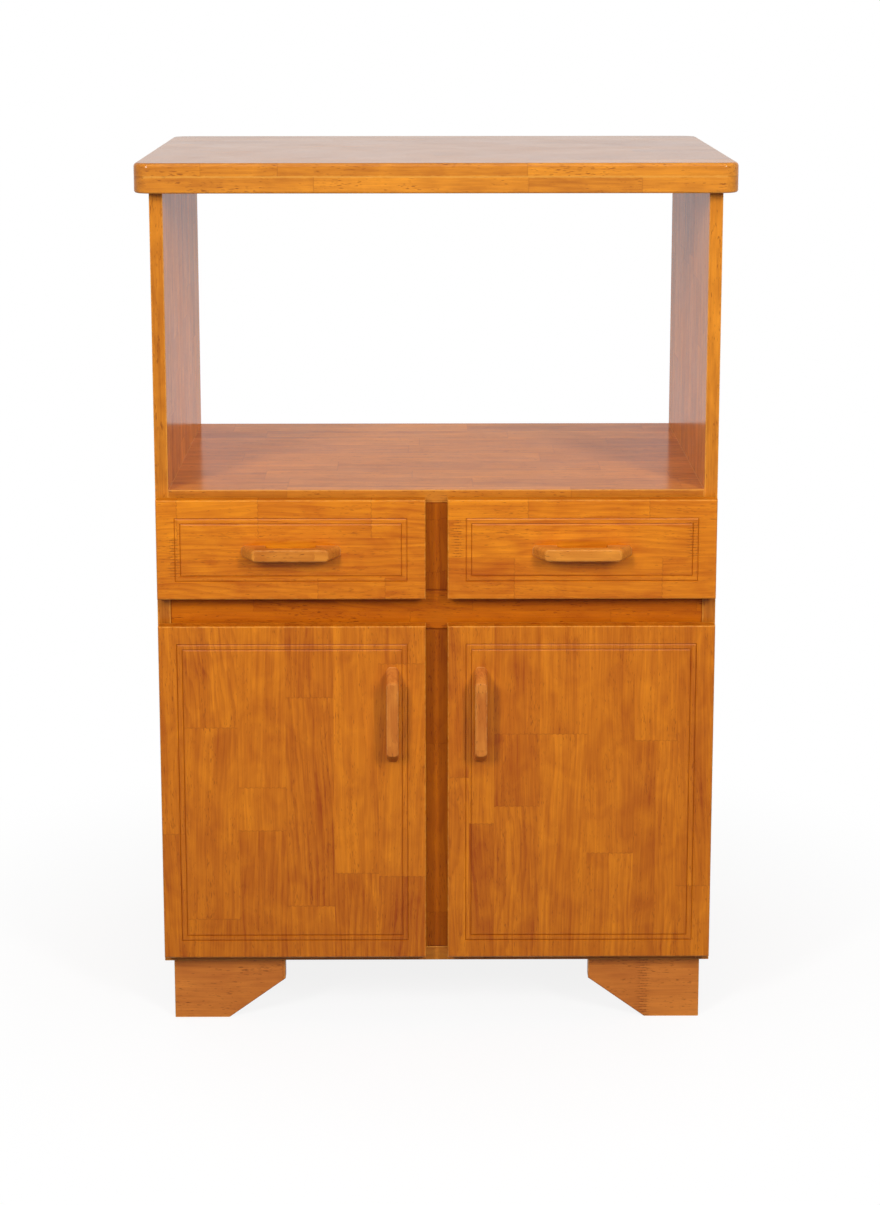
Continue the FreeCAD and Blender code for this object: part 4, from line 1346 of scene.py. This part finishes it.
# ----------------------------------------------------------------------------------------
# Sub-assemblies
# ----------------------------------------------------------------------------------------
@dataclass
class Assembly:
    """A sub-assembly, dressed piece by piece."""

    def pieces(self) -> list[Piece]:
        """Every piece of the sub-assembly."""
        raise NotImplementedError

    def title(self) -> str:
        """What the log calls it."""
        return type(self).__name__.lower()

    def dress(self, nodes: Nodes) -> None:
        """Dress every piece.

        Args:
            nodes: The frame's nodes by name.
        """
        log.info("%s:", self.title())
        for piece in self.pieces():
            piece.dress(nodes)


@dataclass
class Top(Assembly):
    """The top board and the strips that thicken its edges."""

    spread: float = 0.36
    front_stave: Stave = Stave(0.0, (0.112, 0.239, 0.65), (0.50, 0.55, 0.50, 0.76))
    front_strip: Stave = Stave(0.0, (0.298, 0.652, 0.839), (0.45, 0.62, 0.50, 0.60))

    def pieces(self) -> list[Piece]:
        """The board and its strips."""
        board = Gluing(spread=self.spread, first=(self.front_stave,))
        strip = Gluing(spread=self.spread)
        return [
            Board("top_board", ALONG_X_DEEP, TOP, 3, gluing=board),
            Board("top_edging_front", ALONG_X_DEEP, TOP, 5, staves=(self.front_strip,)),
            Board("top_edging_back", ALONG_X_DEEP, TOP, 7, gluing=strip),
            Board("top_edging_sides", ALONG_Y_FLAT, TOP, 11, gluing=strip),
        ]


@dataclass
class Carcass(Assembly):
    """Sides, shelf, bottom, rails and stiles.

    The sides' front staves are darker below the shelf, between the fronts: painted shade.
    """

    # The darker lower block of each front stave is painted shade.
    left_edge: Stave = Stave(0.0, (0.55,), (0.32, 0.52))
    right_edge: Stave = Stave(0.0, (0.55,), (0.28, 0.64))
    spread: float = 0.30
    shelf_spread: float = 0.35

    def pieces(self) -> list[Piece]:
        """The boards and the back."""
        calm = Gluing(spread=self.spread)
        shelf = Gluing(spread=self.shelf_spread)
        left, right = (replace(calm, first=(edge,)) for edge in
                       (self.left_edge, self.right_edge))
        return [
            Board("side_panel_left", UPRIGHT_DEEP, SIDE_LEFT, 13, gluing=left),
            Board("side_panel_right", UPRIGHT_DEEP, SIDE_RIGHT, 17, gluing=right),
            Board("shelf_board", ALONG_X_DEEP, SHELF, 19, gluing=shelf),
            Board("bottom_board", ALONG_X_DEEP, FRAME, 23, gluing=calm),
            Board("mid_rail", ALONG_X_UPRIGHT, SHADED_RAIL, 29, gluing=calm),
            Board("rear_rail", ALONG_X_UPRIGHT, FRAME, 31, gluing=calm),
            Board("drawer_stile", UPRIGHT_WIDE, SHADED_RECESS, 37, gluing=calm),
            Board("door_stile", UPRIGHT_WIDE, SHADED_RECESS, 41, gluing=calm),
            Board("drawer_partition", ALONG_Y_UPRIGHT, FRAME, 43, gluing=calm),
            Board("runner_battens", ALONG_Y_UPRIGHT, FRAME, 47, gluing=calm),
            Board("dowels", UPRIGHT_WIDE, BOX, 149),
            Sheet("back_panel", UPRIGHT_WIDE, PLY, 151),
        ]


@dataclass
class Feet(Assembly):
    """Four feet and the blocks behind them."""

    spread: float = 0.30
    left_stave: Stave = Stave(0.0, (0.98,), (0.42, 0.42))
    right_stave: Stave = Stave(0.0, (0.53,), (0.34, 0.62), Joint.COMB)

    def pieces(self) -> list[Piece]:
        """The feet and their blocks."""
        calm = Gluing(spread=self.spread)
        return [
            Board("front_foot_left", ALONG_X_UPRIGHT, FOOT, 53, staves=(self.left_stave,)),
            Board("front_foot_right", ALONG_X_UPRIGHT, FOOT, 59, staves=(self.right_stave,)),
            Board("rear_foot_left", ALONG_X_UPRIGHT, FOOT, 61, gluing=calm),
            Board("rear_foot_right", ALONG_X_UPRIGHT, FOOT, 67, gluing=calm),
            Board("foot_blocks", UPRIGHT_WIDE, FOOT, 71, gluing=calm),
        ]


@dataclass
class Drawer(Assembly):
    """One drawer: its front, handle and box.

    seeds are those of the front, the handle, the box's sides, front and back, and its
    bottom.
    """

    side: Side
    seeds: tuple[int, int, int, int, int, int]
    handle_tone: float
    staves: tuple[Stave, ...]

    def title(self) -> str:
        """What the log calls it."""
        return f"{self.side.value} drawer"

    def pieces(self) -> list[Piece]:
        """The drawer's pieces."""
        name = f"{self.side.value}_drawer"
        front, handle, box_sides, box_front, box_back, bottom = self.seeds
        plain = Gluing(spread=0.0, middle=self.handle_tone)
        return [
            Board(f"{name}_front", ALONG_X_UPRIGHT, DRAWER, front, staves=self.staves),
            Board(f"{name}_handle", ALONG_X_UPRIGHT, GRIP, handle, gluing=plain),
            Board(f"{name}_box_sides", ALONG_Y_UPRIGHT, BOX, box_sides),
            Board(f"{name}_box_front", ALONG_X_UPRIGHT, BOX, box_front),
            Board(f"{name}_box_back", ALONG_X_UPRIGHT, BOX, box_back),
            Sheet(f"{name}_box_bottom", ALONG_X_DEEP, PLY, bottom),
            Fittings(ENAMEL, (f"{name}_rails",)),
            Fittings(NYLON, (f"{name}_rear_rollers", f"{name}_front_rollers")),
            Fittings(ZINC, (f"{name}_handle_screws",)),
        ]


@dataclass
class Door(Assembly):
    """One door: its panel, handle and hardware; seeds are the panel's and the handle's."""

    side: Side
    seeds: tuple[int, int]
    handle_tone: float
    staves: tuple[Stave, ...]

    def title(self) -> str:
        """What the log calls it."""
        return f"{self.side.value} door"

    def pieces(self) -> list[Piece]:
        """The door's pieces."""
        name = f"{self.side.value}_door"
        panel, handle = self.seeds
        plain = Gluing(spread=0.0, middle=self.handle_tone)
        return [
            Board(f"{name}_panel", UPRIGHT_WIDE, DOOR, panel, staves=self.staves),
            Board(f"{name}_handle", UPRIGHT_WIDE, PULL, handle, gluing=plain),
            Fittings(NICKEL, (f"{name}_hinge_cups", f"{name}_hinge_pins")),
            Fittings(ZINC, (f"{name}_cup_screws", f"{name}_handle_screws")),
            Fittings(RUBBER, (f"{name}_bumpers",)),
        ]


@dataclass
class Hardware(Assembly):
    """Runners, hinges' fixed halves and screws."""

    def pieces(self) -> list[Piece]:
        """The hardware by finish."""
        return [
            Fittings(ENAMEL, ("cabinet_runners",)),
            Fittings(NICKEL, ("hinge_arms", "hinge_plates")),
            Fittings(ZINC, ("hinge_plate_screws",)),
        ]


LEFT_DRAWER = Drawer(Side.LEFT, (73, 97, 109, 127, 137, 153), handle_tone=0.45, staves=(
    Stave(0.0, (0.60, 0.85), (0.42, 0.54, 0.37)),
    Stave(0.22, (0.08,), (0.56, 0.53), Joint.COMB),
    Stave(0.62, (0.08, 0.38, 0.80), (0.60, 0.65, 0.54, 0.55))))
RIGHT_DRAWER = Drawer(Side.RIGHT, (79, 103, 115, 133, 143, 159), handle_tone=0.70, staves=(
    Stave(0.0, (0.25, 0.80), (0.41, 0.50, 0.50)),
    Stave(0.42, (0.05, 0.925), (0.53, 0.57, 0.64), Joint.COMB),
    Stave(0.80, (0.30, 0.75), (0.66, 0.62, 0.62))))
LEFT_DOOR = Door(Side.LEFT, (83, 103), handle_tone=0.42, staves=(
    Stave(0.0, (0.38,), (0.47, 0.50)),
    Stave(0.087, (0.12, 0.70), (0.47, 0.57, 0.58)),
    Stave(0.29, (0.39, 0.52), (0.44, 0.57, 0.57)),
    Stave(0.471, (0.16, 0.79), (0.51, 0.44, 0.50)),
    Stave(0.651, (0.26,), (0.44, 0.61)),
    Stave(0.82, (0.25, 0.89), (0.37, 0.55, 0.55))))
RIGHT_DOOR = Door(Side.RIGHT, (89, 109), handle_tone=0.34, staves=(
    Stave(0.0, (0.55,), (0.50, 0.50)),
    Stave(0.082, (0.41,), (0.38, 0.60)),
    Stave(0.175, (0.463, 0.68), (0.50, 0.38, 0.44)),
    Stave(0.346, (0.68,), (0.57, 0.50)),
    Stave(0.524, (0.32,), (0.56, 0.50)),
    Stave(0.703, (0.66,), (0.39, 0.58)),
    Stave(0.784, (0.66,), (0.60, 0.60)),
    Stave(0.866, (0.22,), (0.50, 0.50))))


# ----------------------------------------------------------------------------------------
# Studio
# ----------------------------------------------------------------------------------------
@dataclass(frozen=True)
class Softbox:
    """A lamp aimed at a point."""

    name: str
    place: Triple
    target: Triple
    width: float
    height: float
    power: float

    def build(self) -> None:
        """Add the lamp."""
        lamp = bpy.data.lights.new(self.name, "AREA")
        lamp.shape = "RECTANGLE"
        lamp.size = self.width
        lamp.size_y = self.height
        lamp.energy = self.power
        holder = bpy.data.objects.new(self.name, lamp)
        bpy.context.scene.collection.objects.link(holder)
        holder.visible_camera = False
        way = Vector(self.target) - Vector(self.place)
        holder.matrix_world = (Matrix.Translation(self.place)
                               @ way.to_track_quat("-Z", "Y").to_matrix().to_4x4())
        log.info("  %s", self.name)


@dataclass
class Studio:
    """Pale floor, white surroundings and soft lamps.

    ambient_front and ambient_back light the stand from the front and the back, and
    ambient_turn is where one becomes the other.  The floor keeps a shadow near the stand,
    which fades over shadow_reach, and turns white beyond it.
    """

    ambient_front: float = 0.01
    ambient_back: float = 0.80
    ambient_turn: Range = (-0.3, 0.5)
    shadow: float = 0.14
    shadow_reach: Range = (0.3, 0.8)
    floor_reach: float = 9.0
    floor_color: Color = (0.26, 0.26, 0.26)
    floor_seen: Color = (0.95, 0.95, 0.95)
    floor_cloud: Color = (0.85, 0.85, 0.85)
    clouds: Noise = Noise(9.0)
    cloud_share: float = 0.1
    lamps: list[Softbox] = field(default_factory=lambda: [
        Softbox("lamp_left", (-1.3, -2.3, 1.62), (0.0, 0.0, 0.5), 0.4, 0.9, 39.0),
        Softbox("lamp_right", (1.3, -2.3, 1.62), (0.0, 0.0, 0.5), 0.4, 0.9, 39.0),
        Softbox("lamp_high", (0.0, -1.9, 2.08), (0.0, 0.0, 0.6), 1.6, 0.62, 10.0),
        Softbox("lamp_overhead", (0.0, -0.9, 2.7), (0.0, -0.1, 0.6), 2.0, 1.4, 7.0),
    ])

    def build(self) -> None:
        """Build floor, surroundings and lamps."""
        log.info("studio:")
        self.surroundings()
        self.floor()
        for lamp in self.lamps:
            lamp.build()

    def surroundings(self) -> None:
        """White where it is seen or mirrored, dimmer where it lights the stand."""
        world = bpy.data.worlds.new("surroundings")
        bpy.context.scene.world = world
        world.use_nodes = True
        world.node_tree.nodes.clear()
        graph = Graph(world.node_tree)
        ray = graph.node("LightPath").outputs
        seen = graph.most(ray["Is Camera Ray"], graph.most(ray["Is Glossy Ray"],
                                                           ray["Is Transmission Ray"]))
        way = graph.split(graph.node("TexCoord").outputs["Generated"])
        ambient = graph.between(way[Axis.Y.value], *self.ambient_turn, self.ambient_front,
                                self.ambient_back)
        background = graph.node("Background")
        graph.put(background.inputs["Color"], (1.0, 1.0, 1.0))
        graph.put(background.inputs["Strength"], graph.blend(seen, (ambient, 1.0)))
        graph.finish(background, "OutputWorld")
        log.info("  surroundings")

    def floor(self) -> None:
        """A wide pale floor that turns into the white surroundings far away."""
        bpy.ops.object.select_all(action="DESELECT")
        bpy.ops.mesh.primitive_plane_add(size=2 * self.floor_reach, location=NOWHERE)
        floor = bpy.context.object
        floor.name = "floor"
        material, graph = start_material("floor_paint")
        point = graph.node("TexCoord").outputs["Object"]
        far = graph.between(graph.vector("LENGTH", point), *self.shadow_reach,
                            1.0 - self.shadow, 1.0, smooth=True)
        diffuse = graph.node("BsdfDiffuse")
        graph.put(diffuse.inputs["Color"], self.floor_color)
        paint = graph.node("BsdfDiffuse")
        graph.put(paint.inputs["Color"], graph.mix(
            graph.product(graph.noise(point, self.clouds), self.cloud_share),
            self.floor_seen, self.floor_cloud))
        ray = graph.node("LightPath").outputs
        seen = graph.most(ray["Is Camera Ray"], ray["Is Glossy Ray"])
        shown = self.either(graph, far, paint, graph.node("Emission"))
        graph.finish(self.either(graph, seen, diffuse, shown))
        floor.data.materials.append(material)
        log.info("  floor")

    def either(self, graph: Graph, factor: Socket, first: bpy.types.Node,
               second: bpy.types.Node) -> bpy.types.Node:
        """Mix two shaders.

        Args:
            graph: Where to draw.
            factor: Share of the second shader.
            first: The first shader.
            second: The second shader.

        Returns:
            The mixed shader.
        """
        made = graph.node("MixShader")
        for socket, value in zip(made.inputs, (factor, first.outputs[0],
                                               second.outputs[0])):
            graph.put(socket, value)
        return made


@dataclass(frozen=True)
class Viewpoint:
    """The camera: where it stands, which way it looks, in radians, and its lens, in mm."""

    place: Triple = (-0.01028, -2.81849, 1.08495)
    yaw: float = -0.005272
    pitch: float = 0.191207
    roll: float = -0.000579
    lens: float = 78.743
    film: float = 36.0
    drop: float = -0.10

    def build(self) -> None:
        """Add the camera and make it the scene's own."""
        ahead = Vector((-math.sin(self.yaw) * math.cos(self.pitch),
                        math.cos(self.yaw) * math.cos(self.pitch), -math.sin(self.pitch)))
        level = Vector((math.cos(self.yaw), math.sin(self.yaw), 0.0))
        upward = level.cross(ahead)
        right = level * math.cos(self.roll) + upward * math.sin(self.roll)
        up = upward * math.cos(self.roll) - level * math.sin(self.roll)
        camera = bpy.data.cameras.new("camera")
        camera.lens = self.lens
        camera.sensor_width = self.film
        camera.shift_y = self.drop
        holder = bpy.data.objects.new("camera", camera)
        bpy.context.scene.collection.objects.link(holder)
        turn = Matrix((right, up, -ahead)).transposed().to_4x4()
        holder.matrix_world = Matrix.Translation(self.place) @ turn
        bpy.context.scene.camera = holder
        log.info("camera at %s", self.place)


def write_sizes() -> None:
    """Turn bounds into lists in a helper that nothing calls; nothing is written.
    """
    def plain(bounds: Any) -> list[list[float]]:
        """Bounds as lists."""
        return [[float(number) for number in corner] for corner in bounds]


def main() -> None:
    """Dress the stand, then set up the studio and the camera."""
    logging.basicConfig(level=logging.INFO, format="%(name)s: %(message)s")
    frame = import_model()
    bpy.context.scene.view_settings.view_transform = "Standard"
    for effect in EFFECTS:
        effect.build()
    for assembly in (Top(), Carcass(), Feet(), LEFT_DRAWER, RIGHT_DRAWER, LEFT_DOOR,
                     RIGHT_DOOR, Hardware()):
        assembly.dress(frame["nodes"])
    Studio().build()
    Viewpoint().build()
    write_sizes()


if __name__ == "__main__":
    main()
